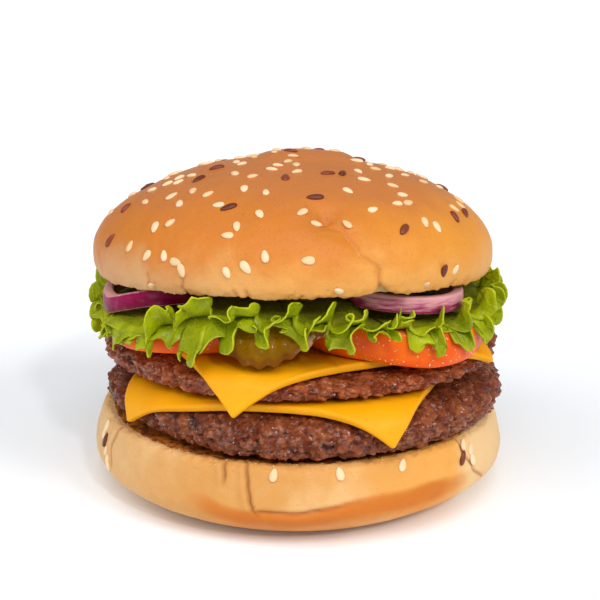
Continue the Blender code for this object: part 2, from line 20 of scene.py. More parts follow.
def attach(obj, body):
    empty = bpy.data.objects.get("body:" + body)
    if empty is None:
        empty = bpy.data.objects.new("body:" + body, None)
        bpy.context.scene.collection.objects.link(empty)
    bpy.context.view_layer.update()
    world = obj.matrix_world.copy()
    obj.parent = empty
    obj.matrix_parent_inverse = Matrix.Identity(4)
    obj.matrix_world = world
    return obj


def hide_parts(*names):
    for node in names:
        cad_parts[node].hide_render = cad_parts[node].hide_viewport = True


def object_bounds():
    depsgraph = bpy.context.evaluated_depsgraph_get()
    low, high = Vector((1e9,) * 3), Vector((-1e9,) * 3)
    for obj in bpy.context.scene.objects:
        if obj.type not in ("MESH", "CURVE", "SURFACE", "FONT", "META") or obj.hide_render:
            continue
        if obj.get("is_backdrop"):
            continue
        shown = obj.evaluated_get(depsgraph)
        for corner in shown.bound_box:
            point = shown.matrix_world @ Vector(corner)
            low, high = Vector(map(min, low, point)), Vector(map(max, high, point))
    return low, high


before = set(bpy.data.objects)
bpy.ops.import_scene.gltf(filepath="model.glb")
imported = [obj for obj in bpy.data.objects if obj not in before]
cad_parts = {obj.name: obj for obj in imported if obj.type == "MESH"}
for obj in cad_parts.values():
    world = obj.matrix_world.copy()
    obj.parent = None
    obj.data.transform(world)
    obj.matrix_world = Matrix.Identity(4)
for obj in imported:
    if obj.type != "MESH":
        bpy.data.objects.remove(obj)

MM = 0.001
SOLIDS_BOX = [list(corner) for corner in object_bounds()]
print("layers in the frame:", sorted(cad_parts))

# %% [markdown]
# ## Camera, floor and light
#
# The burger was photographed with a long lens from a little above the table. The camera stands
# where the lines of the bun's foot and of its cut face both fit. The set is a pale sheet that runs
# far back, and it has to stay white all over. So every light is a sun, which is as strong far off
# as near by, and as wide in the sky as a soft box: a key at the front right, a fill at the left and
# a ceiling above. Their shadows fall behind the burger and show at both its sides. A small hard sun
# puts points of light on all that is wet, and a white sky fills the rest.

# %% Camera
VIEW_DISTANCE = 450.0
VIEW_HEIGHT = 49.0
VIEW_TILT = 17.5
LENS = 97.6
SENSOR_WIDTH = 36.0

aim = Vector((0.0, 0.0, VIEW_HEIGHT))
back = Vector((0.0, -math.cos(math.radians(VIEW_TILT)), math.sin(math.radians(VIEW_TILT))))
camera_data = bpy.data.cameras.new("camera")
camera_data.lens = LENS
camera_data.sensor_width = SENSOR_WIDTH
camera_data.clip_start = 0.01
camera = bpy.data.objects.new("camera", camera_data)
camera.location = (aim + back * VIEW_DISTANCE) * MM
camera.rotation_euler = (-back).to_track_quat("-Z", "Y").to_euler()
bpy.context.scene.collection.objects.link(camera)
bpy.context.scene.camera = camera
bpy.context.scene.view_settings.view_transform = "Standard"
print("camera at", [round(v, 3) for v in camera.location])

# %% Lights and sky
LIGHTS = {  # the way to it, how many degrees wide it looks, and its strength
    "key": ((0.60, -0.52, 0.61), 22.0, 1.12),
    "fill": ((-0.65, -0.40, 0.65), 40.0, 0.87),
    "ceiling": ((0.0, -0.50, 0.87), 40.0, 1.15),
    "spark": ((0.30, -0.75, 0.60), 4.0, 0.48),
}
SKY = 0.28

for title, (way, width, strength) in LIGHTS.items():
    light_data = bpy.data.lights.new(title, "SUN")
    light_data.energy, light_data.angle = strength, math.radians(width)
    light = bpy.data.objects.new(title, light_data)
    light.rotation_euler = (-Vector(way)).to_track_quat("-Z", "Y").to_euler()
    bpy.context.scene.collection.objects.link(light)
world = bpy.data.worlds.new("sky")
world.use_nodes = True
background = world.node_tree.nodes["Background"]
background.inputs["Color"].default_value = (1.0, 1.0, 1.0, 1.0)
background.inputs["Strength"].default_value = SKY
bpy.context.scene.world = world
print("lights:", ", ".join(LIGHTS), "and a white sky")

# %% [markdown]
# ## Finishes as sums
#
# A finish is a small sum: a deeper brown where the crust is high and the oven was hot, a little
# rougher in the pores. Written as nodes by hand such a sum is long and hard to read. So one small
# class stands for an output socket, and Python's own operators on it add the Math nodes. Colours go
# through Mix nodes, because a Math node would turn them grey.

# %% A wire that can be added and multiplied
class Wire:
    """An output socket of a node tree. Arithmetic on it adds Math nodes."""

    def __init__(self, desk, socket):
        self.desk = desk
        self.socket = socket

    def maths(self, operation, first, second):
        return self.desk.node("ShaderNodeMath", {"operation": operation}, {0: first, 1: second})

    def __add__(self, other):
        return self.maths("ADD", self, other)

    def __radd__(self, other):
        return self.maths("ADD", other, self)

    def __sub__(self, other):
        return self.maths("SUBTRACT", self, other)

    def __rsub__(self, other):
        return self.maths("SUBTRACT", other, self)

    def __mul__(self, other):
        return self.maths("MULTIPLY", self, other)

    def __rmul__(self, other):
        return self.maths("MULTIPLY", other, self)

    def rise(self, low, high):
        """0 where the wire is under low, 1 where it is over high, and an S curve between them."""
        inputs = {"Value": self, "From Min": low, "From Max": high}
        return self.desk.node("ShaderNodeMapRange", {"interpolation_type": "SMOOTHSTEP"}, inputs)


# %% A desk on which nodes are laid out
class Desk:
    """Adds nodes to one tree, each with its settings first and then its sockets."""

    def __init__(self, tree):
        self.tree = tree

    def feed(self, socket, value):
        if isinstance(value, Wire):
            self.tree.links.new(value.socket, socket)
        else:
            socket.default_value = value

    def node(self, kind, settings=None, inputs=None, out=0):
        made = self.tree.nodes.new(kind)
        for title, value in (settings or {}).items():
            setattr(made, title, value)
        for title, value in (inputs or {}).items():
            self.feed(made.inputs[title], value)
        return Wire(self, made.outputs[out])


# %% [markdown]
# Every finish starts the same way: a Principled surface, and places on the object in millimetres,
# so that a pattern's size can be given as a real size. The helpers below read a place, a named
# attribute of the mesh, a cloud of noise and a field of cells. Colours are given as they look on a
# screen, and turned into light.

# %% Helpers for finishes
def screen(red, green, blue):
    """A colour given as 0 to 255 screen values, as linear light with an alpha of 1."""
    shares = [value / 255.0 for value in (red, green, blue)]
    light = [s / 12.92 if s <= 0.04045 else ((s + 0.055) / 1.055) ** 2.4 for s in shares]
    return (*light, 1.0)


# The sockets of a Mix node that serve colours: the share, the two colours and the result
MIX_SHARE, MIX_LOW, MIX_HIGH, MIX_RESULT = 0, 6, 7, 2


class Finish(Desk):
    """A material with a Principled surface. What is the same all over is set as it is made."""

    def __init__(self, name, **fixed):
        self.material = bpy.data.materials.new(name)
        self.material.use_nodes = True
        super().__init__(self.material.node_tree)
        self.shader = self.tree.nodes["Principled BSDF"]
        for title, value in fixed.items():
            self.shader.inputs[title.replace("_", " ")].default_value = value

    def place(self, stretch=(1.0, 1.0, 1.0)):
        """Places on the object in millimetres, stretched along X, Y or Z."""
        places = self.node("ShaderNodeTexCoord", out="Object")
        scale = tuple(1.0 / (MM * value) for value in stretch)
        settings = {"operation": "MULTIPLY"}
        return self.node("ShaderNodeVectorMath", settings, {0: places, 1: scale})

    def across(self):
        """How far to the right of the middle a place lies, in millimetres."""
        return self.node("ShaderNodeSeparateXYZ", None, {0: self.place()}, out="X")

    def read(self, attribute):
        return self.node("ShaderNodeAttribute", {"attribute_name": attribute}, out="Fac")

    def cloud(self, size, detail=3.0, roughness=0.5, bend=0.0, place=None):
        """Noise from 0 to 1 whose blotches are about size across."""
        return self.node("ShaderNodeTexNoise", None, {
            "Vector": place or self.place(), "Scale": 1.0 / size, "Detail": detail,
            "Roughness": roughness, "Distortion": bend,
        })

    def cells(self, size, feature="F1"):
        """Distance to the middle of cells about size across, or to their edges."""
        inputs = {"Vector": self.place(), "Scale": 1.0 / size}
        return self.node("ShaderNodeTexVoronoi", {"feature": feature}, inputs)

    def blend(self, share, low, high):
        """The colour low where share is 0 and high where it is 1."""
        inputs = {MIX_SHARE: share, MIX_LOW: low, MIX_HIGH: high}
        return self.node("ShaderNodeMix", {"data_type": "RGBA"}, inputs, out=MIX_RESULT)

    def surface(self, colour, roughness, height=None, depth=0.2, coat=None):
        """Feeds the surface. height goes from 0 to 1, and depth is how many millimetres that is."""
        self.feed(self.shader.inputs["Base Color"], colour)
        self.feed(self.shader.inputs["Roughness"], roughness)
        if coat is not None:
            self.feed(self.shader.inputs["Coat Weight"], coat)
        if height is not None:
            bump = self.node("ShaderNodeBump", None, {"Height": height, "Distance": depth * MM})
            self.feed(self.shader.inputs["Normal"], bump)
        return self.material


# %% [markdown]
# ## Meshes from rules
#
# A layer of food is a skin of points that runs round it, ring over ring. One function turns rings
# into a closed mesh, and one turns a grid into an open sheet that a Solidify modifier makes thick.
# Both can carry a number for each point, such as how high on the crust it lies, which the finish
# reads later.

# %% Numbers that run smoothly
def smooth(low, high, value):
    """0 below low, 1 above high, and an S curve between them."""
    t = min(1.0, max(0.0, (value - low) / (high - low)))
    return t * t * (3 - 2 * t)


def window(value, start, rise, fall, end):
    """0 up to start, 1 from rise to fall and 0 again past end, with S curves between them."""
    return smooth(start, rise, value) * (1 - smooth(fall, end, value))


def mix(a, b, share):
    return a + (b - a) * share


def lumps(point, size, seed):
    """Smooth noise from -1 to 1 whose bumps are about size across."""
    return noise.noise(Vector(point) / size + Vector((seed * 7.3, seed * 3.1, seed * 5.7)))


def hump(value, width):
    """1 at zero, falling off smoothly to both sides."""
    return math.exp(-((value / width) ** 2))


def polar(radius, azimuth, centre=(0.0, 0.0)):
    turn = math.radians(azimuth)
    return centre[0] + radius * math.cos(turn), centre[1] + radius * math.sin(turn)


def keyed(keys, azimuth):
    """A value that runs smoothly round the burger through (azimuth, value) keys."""
    azimuth = (azimuth + 180.0) % 360.0 - 180.0
    before = [key for key in keys if key[0] <= azimuth]
    after = [key for key in keys if key[0] > azimuth]
    low = before[-1] if before else (keys[-1][0] - 360.0, keys[-1][1])
    high = after[0] if after else (keys[0][0] + 360.0, keys[0][1])
    return mix(low[1], high[1], smooth(low[0], high[0], azimuth))


print("half way up the S curve:", smooth(0, 2, 1))

# %% Points to objects
def mesh_object(name, points, faces, values):
    """An object at the origin from points in millimetres, with named values for each point."""
    mesh = bpy.data.meshes.new(name)
    mesh.from_pydata([(x * MM, y * MM, z * MM) for x, y, z in points], [], faces)
    for title, numbers in values.items():
        mesh.attributes.new(title, "FLOAT", "POINT").data.foreach_set("value", numbers)
    mesh.shade_smooth()
    made = bpy.data.objects.new(name, mesh)
    bpy.context.scene.collection.objects.link(made)
    return made


def face_outwards(made):
    """Turns the faces of a closed mesh outwards."""
    bm = bmesh.new()
    bm.from_mesh(made.data)
    bmesh.ops.recalc_face_normals(bm, faces=bm.faces)
    bm.to_mesh(made.data)
    bm.free()


def skin(name, rows, **values):
    """A closed mesh from rows of points. The first and the last row are single points."""
    starts = [sum(len(row) for row in rows[:i]) for i in range(len(rows))]
    faces = []
    for (low, low_row), (high, high_row) in zip(zip(starts, rows), zip(starts[1:], rows[1:])):
        count = max(len(low_row), len(high_row))
        for i in range(count):
            j = (i + 1) % count
            corners = [low + i % len(low_row), low + j % len(low_row)]
            corners += [high + j % len(high_row), high + i % len(high_row)]
            faces.append(list(dict.fromkeys(corners)))
    made = mesh_object(name, [point for row in rows for point in row], faces, values)
    face_outwards(made)
    return made


def sheet(name, rows, **values):
    """An open mesh from equal rows of points, facing up."""
    wide = len(rows[0])
    faces = []
    for i in range(len(rows) - 1):
        for j in range(wide - 1):
            corner = i * wide + j
            faces.append((corner, corner + 1, corner + wide + 1, corner + wide))
    return mesh_object(name, [point for row in rows for point in row], faces, values)


def thicken(made, thickness):
    solidify = made.modifiers.new("thickness", "SOLIDIFY")
    solidify.thickness = thickness * MM
    solidify.offset = 0.0
    solidify.use_even_offset = False


def dress(made, material, slot, *nodes):
    """Gives a finished piece its material and its place on the burger, and hides the solids it
    stands for.
    """
    made.data.materials.clear()
    made.data.materials.append(material)
    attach(made, "root")
    for node in nodes:
        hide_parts(node)
    print(made.name, len(made.data.polygons), "faces")


# %% [markdown]
# ## Geometry Nodes for what repeats
#
# Two trees serve the whole burger. The first puts a seed on each point of a list. Its inputs are
# the seed's length, width, height and taper, and it reads how each seed lies from the points, so
# the same tree makes rounded sesame and flat flax. The second scatters grains over a surface with a
# fixed seed, where an attribute says so: crumbs on the cut edge of the bun, and beads of juice on
# the tomato and the beef. Both end in real mesh with a material, and the result is kept as a plain
# mesh.

# %% A tree that lays seeds
def new_tree(name, sockets):
    """An empty Geometry Nodes tree with a geometry going in and out, and named inputs."""
    tree = bpy.data.node_groups.new(name, "GeometryNodeTree")
    tree.interface.new_socket("Geometry", in_out="OUTPUT", socket_type="NodeSocketGeometry")
    tree.interface.new_socket("Geometry", in_out="INPUT", socket_type="NodeSocketGeometry")
    for title, kind in sockets.items():
        tree.interface.new_socket(title, in_out="INPUT", socket_type="NodeSocket" + kind)
    desk = Desk(tree)
    entry = tree.nodes.new("NodeGroupInput")
    given = {socket.name: Wire(desk, socket) for socket in entry.outputs if socket.name}
    return tree, desk, given


def finish_tree(desk, instances, material):
    """Real mesh, smooth and with its material."""
    real = desk.node("GeometryNodeRealizeInstances", None, {"Geometry": instances})
    soft = desk.node("GeometryNodeSetShadeSmooth", None, {"Geometry": real})
    done = desk.node("GeometryNodeSetMaterial", None, {"Geometry": soft, "Material": material})
    leave = desk.tree.nodes.new("NodeGroupOutput")
    desk.feed(leave.inputs["Geometry"], done)


def named(desk, title, kind):
    return desk.node("GeometryNodeInputNamedAttribute", {"data_type": kind}, {"Name": title})


def seed_tree():
    sockets = {title: "Float" for title in ("Length", "Width", "Height", "Taper")}
    tree, desk, given = new_tree("lay_seeds", {**sockets, "Material": "Material"})
    ball = desk.node("GeometryNodeMeshIcoSphere", None, {"Radius": 0.5, "Subdivisions": 3})
    place = desk.node("GeometryNodeInputPosition")
    split = desk.tree.nodes.new("ShaderNodeSeparateXYZ")
    desk.feed(split.inputs[0], place)
    x, y, z = (Wire(desk, socket) for socket in split.outputs)
    along = x + 0.5  # 0 at the blunt end and 1 at the pointed one
    narrow, low = 1 - given["Taper"] * along, 1 - 0.3 * along
    drop = desk.node("ShaderNodeCombineXYZ", None, {"X": x, "Y": y * narrow, "Z": z * low})
    shaped = desk.node("GeometryNodeSetPosition", None, {"Geometry": ball, "Position": drop})
    sizes = {"X": given["Length"], "Y": given["Width"], "Z": given["Height"]}
    size = desk.node("ShaderNodeCombineXYZ", None, sizes)
    seed = desk.node("GeometryNodeTransform", None, {"Geometry": shaped, "Scale": size})
    laid = desk.node("GeometryNodeInstanceOnPoints", None, {
        "Points": given["Geometry"], "Instance": seed,
        "Rotation": named(desk, "lie", "FLOAT_VECTOR"),
        "Scale": named(desk, "growth", "FLOAT_VECTOR"),
    })
    finish_tree(desk, laid, given["Material"])
    return tree


SEED_TREE = seed_tree()
print("seed tree:", len(SEED_TREE.nodes), "nodes")

# %% A tree that scatters grains
GRAIN_SIZES = (0.45, 1.3)  # the smallest and the largest grain, as shares of the size asked for
GRAIN_SIZE_DRAW = 5


def grain_tree():
    tree, desk, given = new_tree("scatter_grains", {
        "Density": "Float", "Size": "Float", "Flatness": "Float", "Roundness": "Int", "Draw": "Int",
        "Material": "Material",
    })
    density = given["Density"] * named(desk, "grainy", "FLOAT")
    spread = desk.tree.nodes.new("GeometryNodeDistributePointsOnFaces")
    feeds = {"Mesh": given["Geometry"], "Density": density, "Seed": given["Draw"]}
    for title, wire in feeds.items():
        desk.feed(spread.inputs[title], wire)
    points, turn = Wire(desk, spread.outputs["Points"]), Wire(desk, spread.outputs["Rotation"])
    grain = {"Radius": given["Size"], "Subdivisions": given["Roundness"]}
    ball = desk.node("GeometryNodeMeshIcoSphere", None, grain)
    # Of a Random Value node, inputs 2 and 3 and output 1 are the ones for a plain number
    drawn = {2: GRAIN_SIZES[0], 3: GRAIN_SIZES[1], "Seed": GRAIN_SIZE_DRAW}
    size = desk.node("FunctionNodeRandomValue", {"data_type": "FLOAT"}, drawn, out=1)
    scales = {"X": size, "Y": size, "Z": size * given["Flatness"]}
    scale = desk.node("ShaderNodeCombineXYZ", None, scales)
    laid = desk.node("GeometryNodeInstanceOnPoints", None, {
        "Points": points, "Instance": ball, "Rotation": turn, "Scale": scale})
    finish_tree(desk, laid, given["Material"])
    return tree


GRAIN_TREE = grain_tree()
print("grain tree:", len(GRAIN_TREE.nodes), "nodes")

# %% Run a tree and keep its mesh
def grow(name, mesh, tree, **inputs):
    """Runs a tree on a mesh and keeps the result as a plain mesh in an object of its own."""
    made = bpy.data.objects.new(name, mesh)
    bpy.context.scene.collection.objects.link(made)
    modifier = made.modifiers.new("rule", "NODES")
    modifier.node_group = tree
    entries = [item for item in tree.interface.items_tree if item.in_out == "INPUT"]
    sockets = {item.name: item.identifier for item in entries}
    for title, value in inputs.items():
        modifier[sockets[title]] = value
    graph = bpy.context.evaluated_depsgraph_get()
    result = bpy.data.meshes.new_from_object(made.evaluated_get(graph))
    made.modifiers.remove(modifier)
    made.data = result
    result.name = name
    return made


def scatter(name, on, material, density, size, flatness, draw, roundness=1):
    """Grains where the grainy attribute of a piece says so. density is grains a square metre."""
    return grow(name, on.data, GRAIN_TREE, Density=density, Size=size * MM, Flatness=flatness,
                Roundness=roundness, Draw=draw, Material=material)


# %% [markdown]
# ## The surfaces between the layers
#
# Each layer rests on the one below, so the heights of the layers are written as functions over the
# plan. The beef slopes a little to the front, soft toppings sag past its edge, and the top bun is
# tilted back by what is piled up at the front.

# %% Heights of the layers
GAP = 0.3
SLICE_THICKNESS = 2.2
HEEL_HEIGHT = 21.0
HEEL_SLOPE = 0.025  # how much higher the toasted face is for each millimetre nearer to the front
CROWN_CENTRE = (-1.8, -2.0)
CROWN_BASE = 57.8
CROWN_TILT = 9.2
CROWN_RIM_RADIUS = 51.6
CROWN_HOLLOW = 4.2
# Each plane: its height at the middle, and how much it rises for each millimetre right and back
LOWER_PATTY_TOP = (31.8, 0.012, -0.0625)
UPPER_PATTY_TOP = (43.3, -0.0287, -0.02)
TOMATO_TOP = (53.0, 0.0, -0.055)
RIGHT_END_RISE = 3.5  # how far the upper patty stands up at its right end, past the cheese
SAG_START = 45.5  # the radius past which soft toppings sag
SAG_RATE = 0.022


def plane(measures, x, y):
    height, right, back = measures
    return height + right * x + back * y


def lower_patty_bottom(x, y):
    return HEEL_HEIGHT - HEEL_SLOPE * y + GAP


def lower_patty_top(x, y):
    return plane(LOWER_PATTY_TOP, x, y)


def upper_patty_bottom(x, y):
    return lower_patty_top(x, y) + 2 * GAP + SLICE_THICKNESS


def upper_patty_top(x, y):
    return plane(UPPER_PATTY_TOP, x, y)


def upper_patty_crown(x, y):
    """The upper patty's own top, with its raised right end."""
    return upper_patty_top(x, y) + RIGHT_END_RISE * smooth(46, 51, x) * window(y, -16, -9, 14, 24)


def sag(x, y):
    """How far soft toppings hang down past the patty's edge."""
    return SAG_RATE * max(0.0, math.hypot(x, y) - SAG_START) ** 2


def tomato_bottom(x, y):
    return upper_patty_top(x, y) + 3 * GAP + SLICE_THICKNESS - sag(x, y)


def tomato_top(x, y):
    return plane(TOMATO_TOP, x, y) - sag(x, y)


def crown_bottom(x, y):
    """The cut face of the top bun, over the plan."""
    reach = min(1.0, math.hypot(x - CROWN_CENTRE[0], y - CROWN_CENTRE[1]) / CROWN_RIM_RADIUS)
    level = CROWN_BASE - math.tan(math.radians(CROWN_TILT)) * (y - CROWN_CENTRE[1])
    return level + CROWN_HOLLOW * (1 - reach**4)


for title, height in (("beef ends", upper_patty_top), ("top bun starts", crown_bottom)):
    print(title, round(height(0, 0), 1), "mm up in the middle")

# %% [markdown]
# ## The top bun
#
# A soft roll, baked deep golden on top and pale at its edge. Painted light lies over that: its left
# side is painted paler and greyer, as lit by the fill, and its right side brighter gold, as lit by
# the key, and painted shade darkens its fold, its dimple and its cracks. Its dome is an ellipse
# turned round, with a raised lobe, a dimple and a fold in the front. A reader could sculpt it, but
# the marks are few and clear, so each is a term in one sum of humps and hollows. The mesh has a
# point every half millimetre at the front, which is enough for the cracks near the cut edge.

# %% Shape of the crust
CROWN_RADIUS = 54.4
CROWN_BELLY_HEIGHT = 6.5
CROWN_DOME_HEIGHT = 24.9
CROWN_LEAST_LEAN = -40  # relief at the cut edge is laid outwards, and no further down than this
# Where the fold in the front runs: height and x
CROWN_FOLD = ((0.5, 21.5), (6.5, 21.0), (11.5, 16.1), (16.0, 13.0), (19.0, 8.0), (25.5, 1.2))
# Cracks that climb from the cut edge: azimuth, climb of the lower and of the upper end
CRACKS = (
    (-132, -60, -8), (-120, -85, -6), (-105, -86, -34), (-102, -86, -36), (-88, -86, -50),
    (-40, -86, -40),
)
DEGREE = 0.94  # millimetres along the crust for one degree of azimuth
FRONT = -20.0  # the fold, the dimple and the notch lie in front of this Y
HOLLOW = (8.0, -45.0, 18.8)  # the wide hollow round the dimple
DIMPLE = Vector((7.9, -45.0, 18.8))
DIMPLE_LIP = Vector((12.0, -44.0, 18.4))
NOTCH = Vector((21.9, -46.8, 0.6))


def crown_relief(x, y, z):
    """The large relief: a raised lobe, a hollow and a soft fold."""
    lobe = 1.6 * window(x, -13, -4, 13, 19) * window(y, -15, -1, 20, 34)
    hollow = -2.2 * hump(math.dist((x, y, z), HOLLOW), 5.0)
    fold_x = keyed(CROWN_FOLD, z)
    fold = -1.2 * hump(x - fold_x, 3.0) * smooth(24, 14, z) if y < FRONT else 0.0
    return lobe + hollow + fold + 0.8 * lumps((x, y, z), 26, 2)


def crown_crease(x, y, z, azimuth, climb):
    """1 along the bottom of the fold and of the cracks, and 0 away from them."""
    crease = 0.0
    if y < FRONT:
        across = x - keyed(CROWN_FOLD, z) + 0.5 * lumps((z, 0, 0), 3.0, 35)
        crease = hump(across, 0.45) * smooth(21, 14, z) * (0.5 + 0.5 * smooth(9, 2, z))
        crease = max(crease, hump((Vector((x, y, z)) - DIMPLE).length, 1.4))
    for centre, low, high in CRACKS:
        across = (azimuth - centre) * DEGREE + 1.3 * lumps((climb, centre, 0), 22, 31)
        if abs(across) < 3.0:
            length = smooth(high, high - 14, climb) * smooth(low - 8, low, climb)
            crease = max(crease, 0.6 * hump(across, 0.42) * length)
    return crease


def crown_detail(x, y, z, azimuth, climb):
    """The fine relief: pebbled crust, the creases, the torn notch and the puckered dimple."""
    here = Vector((x, y, z))
    detail = 0.12 * lumps(here, 3.5, 30) + 0.20 * lumps(here, 9.0, 36)
    detail += 0.05 * lumps(here, 1.3, 37) - 0.9 * crown_crease(x, y, z, azimuth, climb)
    if y < FRONT:
        across = x - keyed(CROWN_FOLD, z)
        detail += 0.30 * hump(across + 1.6, 1.1) * smooth(21, 12, z) * (0.4 + 0.6 * smooth(9, 2, z))
        detail -= 1.9 * hump((here - NOTCH).length, 1.3)
        near = (here - DIMPLE).length
        detail -= 0.9 * hump(near, 4.5) * max(0.0, lumps(here, 1.8, 32))
        detail += 0.7 * hump((here - DIMPLE_LIP).length, 1.8)
    pucker = smooth(-5, -70, climb)
    folds = 0.42 * lumps((azimuth * 0.95, 0.08 * climb, 0), 2.6, 33)
    return detail + pucker * (folds + 0.26 * lumps(here, 1.2, 34))


def crown_point(azimuth, climb, fine=True):
    """A point on the crust and its outward direction.

    climb is -90 at the cut edge, 0 at the belly and 90 on top, and fine adds the fine relief.
    """
    turn = math.radians(climb)
    if climb < 0:
        radius = mix(CROWN_RIM_RADIUS, CROWN_RADIUS, math.cos(turn))
        height = CROWN_BELLY_HEIGHT * (1 + math.sin(turn))
    else:
        radius = CROWN_RADIUS * math.cos(turn)
        height = CROWN_BELLY_HEIGHT + CROWN_DOME_HEIGHT * math.sin(turn)
    x, y = polar(radius, azimuth)
    lean = max(climb, CROWN_LEAST_LEAN)
    flat = math.cos(math.radians(lean)) * CROWN_DOME_HEIGHT
    rise = math.sin(math.radians(lean)) * CROWN_RADIUS
    outward = Vector((*polar(flat, azimuth), rise)).normalized()
    relief = crown_relief(x, y, height)
    if fine:
        relief += crown_detail(x, y, height, azimuth, climb)
    return Vector((x, y, height)) + outward * relief, outward


print("belly of the bun:", [round(v, 1) for v in crown_point(-90, 0)[0]])

# %% Finish of the crust
CRUST_TOP = screen(200, 120, 56)
CRUST_MIDDLE = screen(206, 122, 40)
# Painted key light: the brighter gold of the crust's right side
CRUST_BRIGHT = screen(224, 146, 50)
CRUST_EDGE = screen(228, 162, 80)
# Painted fill light: the paler, greyer colour of the crust's left side
CRUST_PALE = screen(212, 164, 114)
CRUST_SPOT = screen(150, 68, 24)
CRUMB = screen(232, 192, 130)


def crust_finish(name):
    """Baked crust: pale at the edge, golden in the middle and brown where it is most baked, with
    painted light on its sides and painted shade in its creases.
    """
    finish = Finish(name, Subsurface_Weight=0.08, Subsurface_Scale=1.2 * MM,
                    Specular_IOR_Level=0.28)
    patches = finish.cloud(24.0, detail=2.0)
    mottled = finish.cloud(6.0, detail=4.0, roughness=0.65)
    baked = finish.read("baked") + 0.55 * (patches - 0.5) + 0.32 * (mottled - 0.5)
    across = finish.across()
    # Painted light: the left side is painted paler and greyer, as lit by the fill, and the right
    # side brighter gold, as lit by the key
    edge = finish.blend(across.rise(-56.0, 4.0), CRUST_PALE, CRUST_EDGE)
    middle = finish.blend(across.rise(0.0, 44.0), CRUST_MIDDLE, CRUST_BRIGHT)
    colour = finish.blend(baked.rise(0.02, 0.44), edge, middle)
    colour = finish.blend(baked.rise(0.40, 0.88), colour, CRUST_TOP)
    pores = 1 - finish.cells(0.75).rise(0.05, 0.34)
    fine = finish.cloud(0.5, detail=2.0)
    specks = pores * finish.cloud(2.5).rise(0.45, 0.75)
    colour = finish.blend(0.22 * specks, colour, CRUST_SPOT)
    freckles = 1 - finish.cells(4.5).rise(0.05, 0.10)
    colour = finish.blend(0.35 * freckles, colour, CRUST_SPOT)
    # Painted shade: the fold, the dimple and the cracks are painted darker brown, as shade in them
    colour = finish.blend(0.60 * finish.read("creased"), colour, CRUST_SPOT)
    colour = finish.blend(finish.read("torn"), colour, CRUMB)
    roughness = 0.44 + 0.18 * fine - 0.12 * baked.rise(0.3, 0.9) + 0.25 * finish.read("torn")
    pebbles = finish.cloud(2.2, detail=3.0)
    height = 0.5 * fine + 0.5 * (1 - pores) + 0.9 * pebbles
    return finish.surface(colour, roughness, height, depth=0.14)


def crumb_finish():
    """Torn crumb, as on the cut edges and on the crumbs themselves."""
    finish = Finish("crumb", Subsurface_Weight=0.2, Subsurface_Scale=1.0 * MM)
    return finish.surface(finish.blend(finish.cloud(1.0), CRUMB, CRUST_EDGE), 0.8)


CROWN_CRUST = crust_finish("golden_crust")
CRUMBS = crumb_finish()
print("crust finish:", len(CROWN_CRUST.node_tree.nodes), "nodes")

# %% Mesh of the top bun
CROWN_SIDES = 600
CROWN_CLIMBS = [-90 + 5 * i for i in range(18)] + [0.9 * i for i in range(100)]
CROWN_CUT_SHARES = (0.2, 0.4, 0.6, 0.75, 0.85, 0.92, 0.97)  # rings of the cut face, middle to rim
CROWN_PLACE = Matrix.Translation((*CROWN_CENTRE, CROWN_BASE))
CROWN_PLACE = CROWN_PLACE @ Matrix.Rotation(-math.radians(CROWN_TILT), 4, "X")


def crown_mesh():
    """The crust and the cut face, with how baked, torn, grainy and creased each point is."""
    rows, baked, torn, grainy, creased = [[(0, 0, CROWN_HOLLOW)]], [0.0], [1.0], [0.0], [0.0]
    for share in CROWN_CUT_SHARES:
        row = []
        for i in range(CROWN_SIDES):
            x, y = polar(CROWN_RIM_RADIUS * share, 360 * i / CROWN_SIDES - 180)
            pit = 0.35 * lumps((x, y, 0), 1.8, 40) + 0.2 * lumps((x, y, 0), 0.8, 41)
            row.append((x, y, CROWN_HOLLOW * (1 - share**4) + 0.3 + pit))
        rows.append(row)
        baked += [0.0] * CROWN_SIDES
        torn += [1.0] * CROWN_SIDES
        grainy += [float(share > 0.95)] * CROWN_SIDES
        creased += [0.0] * CROWN_SIDES
    for climb in CROWN_CLIMBS:
        row = []
        for i in range(CROWN_SIDES):
            azimuth = 360 * i / CROWN_SIDES - 180
            point, outward = crown_point(azimuth, climb)
            creased.append(crown_crease(*point, azimuth, climb))
            ragged = smooth(-70, -90, climb)
            point += outward * ragged * 0.35 * lumps(point, 1.5, 42)
            point.z += ragged * (0.45 * lumps(point, 2.2, 43) + 0.25 * lumps(point, 0.9, 44) + 0.1)
            notch = 0.7 * hump((Vector(point[:]) - NOTCH).length, 1.4)
            row.append(point)
            baked.append((point.z + 0.6) / (CROWN_BELLY_HEIGHT + CROWN_DOME_HEIGHT))
            torn.append(min(1.0, 0.9 * smooth(-84, -90, climb) + notch))
            grainy.append(smooth(-66, -88, climb))
        rows.append(row)
    rows.append([crown_point(0, 90)[0]])
    baked.append(1.0)
    torn.append(0.0)
    grainy.append(0.0)
    creased.append(0.0)
    rows = [[CROWN_PLACE @ Vector(point) for point in row] for row in rows]
    return skin("top_bun_crust", rows, baked=baked, torn=torn, grainy=grainy, creased=creased)


crown = crown_mesh()
crumbs = scatter("top_bun_crumbs", crown, CRUMBS, density=2.2e5, size=0.26, flatness=0.8, draw=3)
dress(crown, CROWN_CRUST, "bun_crust", "bun_top")
dress(crumbs, CRUMBS, "bun_crust")

# %% [markdown]
# ## Seeds
#
# Pale sesame and dark flax lie close on top of the bun, thin out down its sides, and a few stand
# alone on the front, where the eye notices each one. So the lone ones are listed one by one, as
# azimuth, climb and the way the pointed end turns, and the close cover is drawn by a rule with a
# fixed seed that keeps seeds apart. Each seed is pressed half way into the crust.

# %% Where the seeds lie
SEED_DRAW = 11
SEED_SPACING = 3.5
CLOSE_SEEDS, BACK_SEEDS = 124, 14  # how many are drawn on top, and low at the back
FLAX_SHARE = 0.2
# Least climb of the close seed cover, by azimuth
CLOSE_COVER = ((-180, 20), (-152, 22), (-120, 43), (-60, 47), (-35, 29), (0, 20), (90, 30))
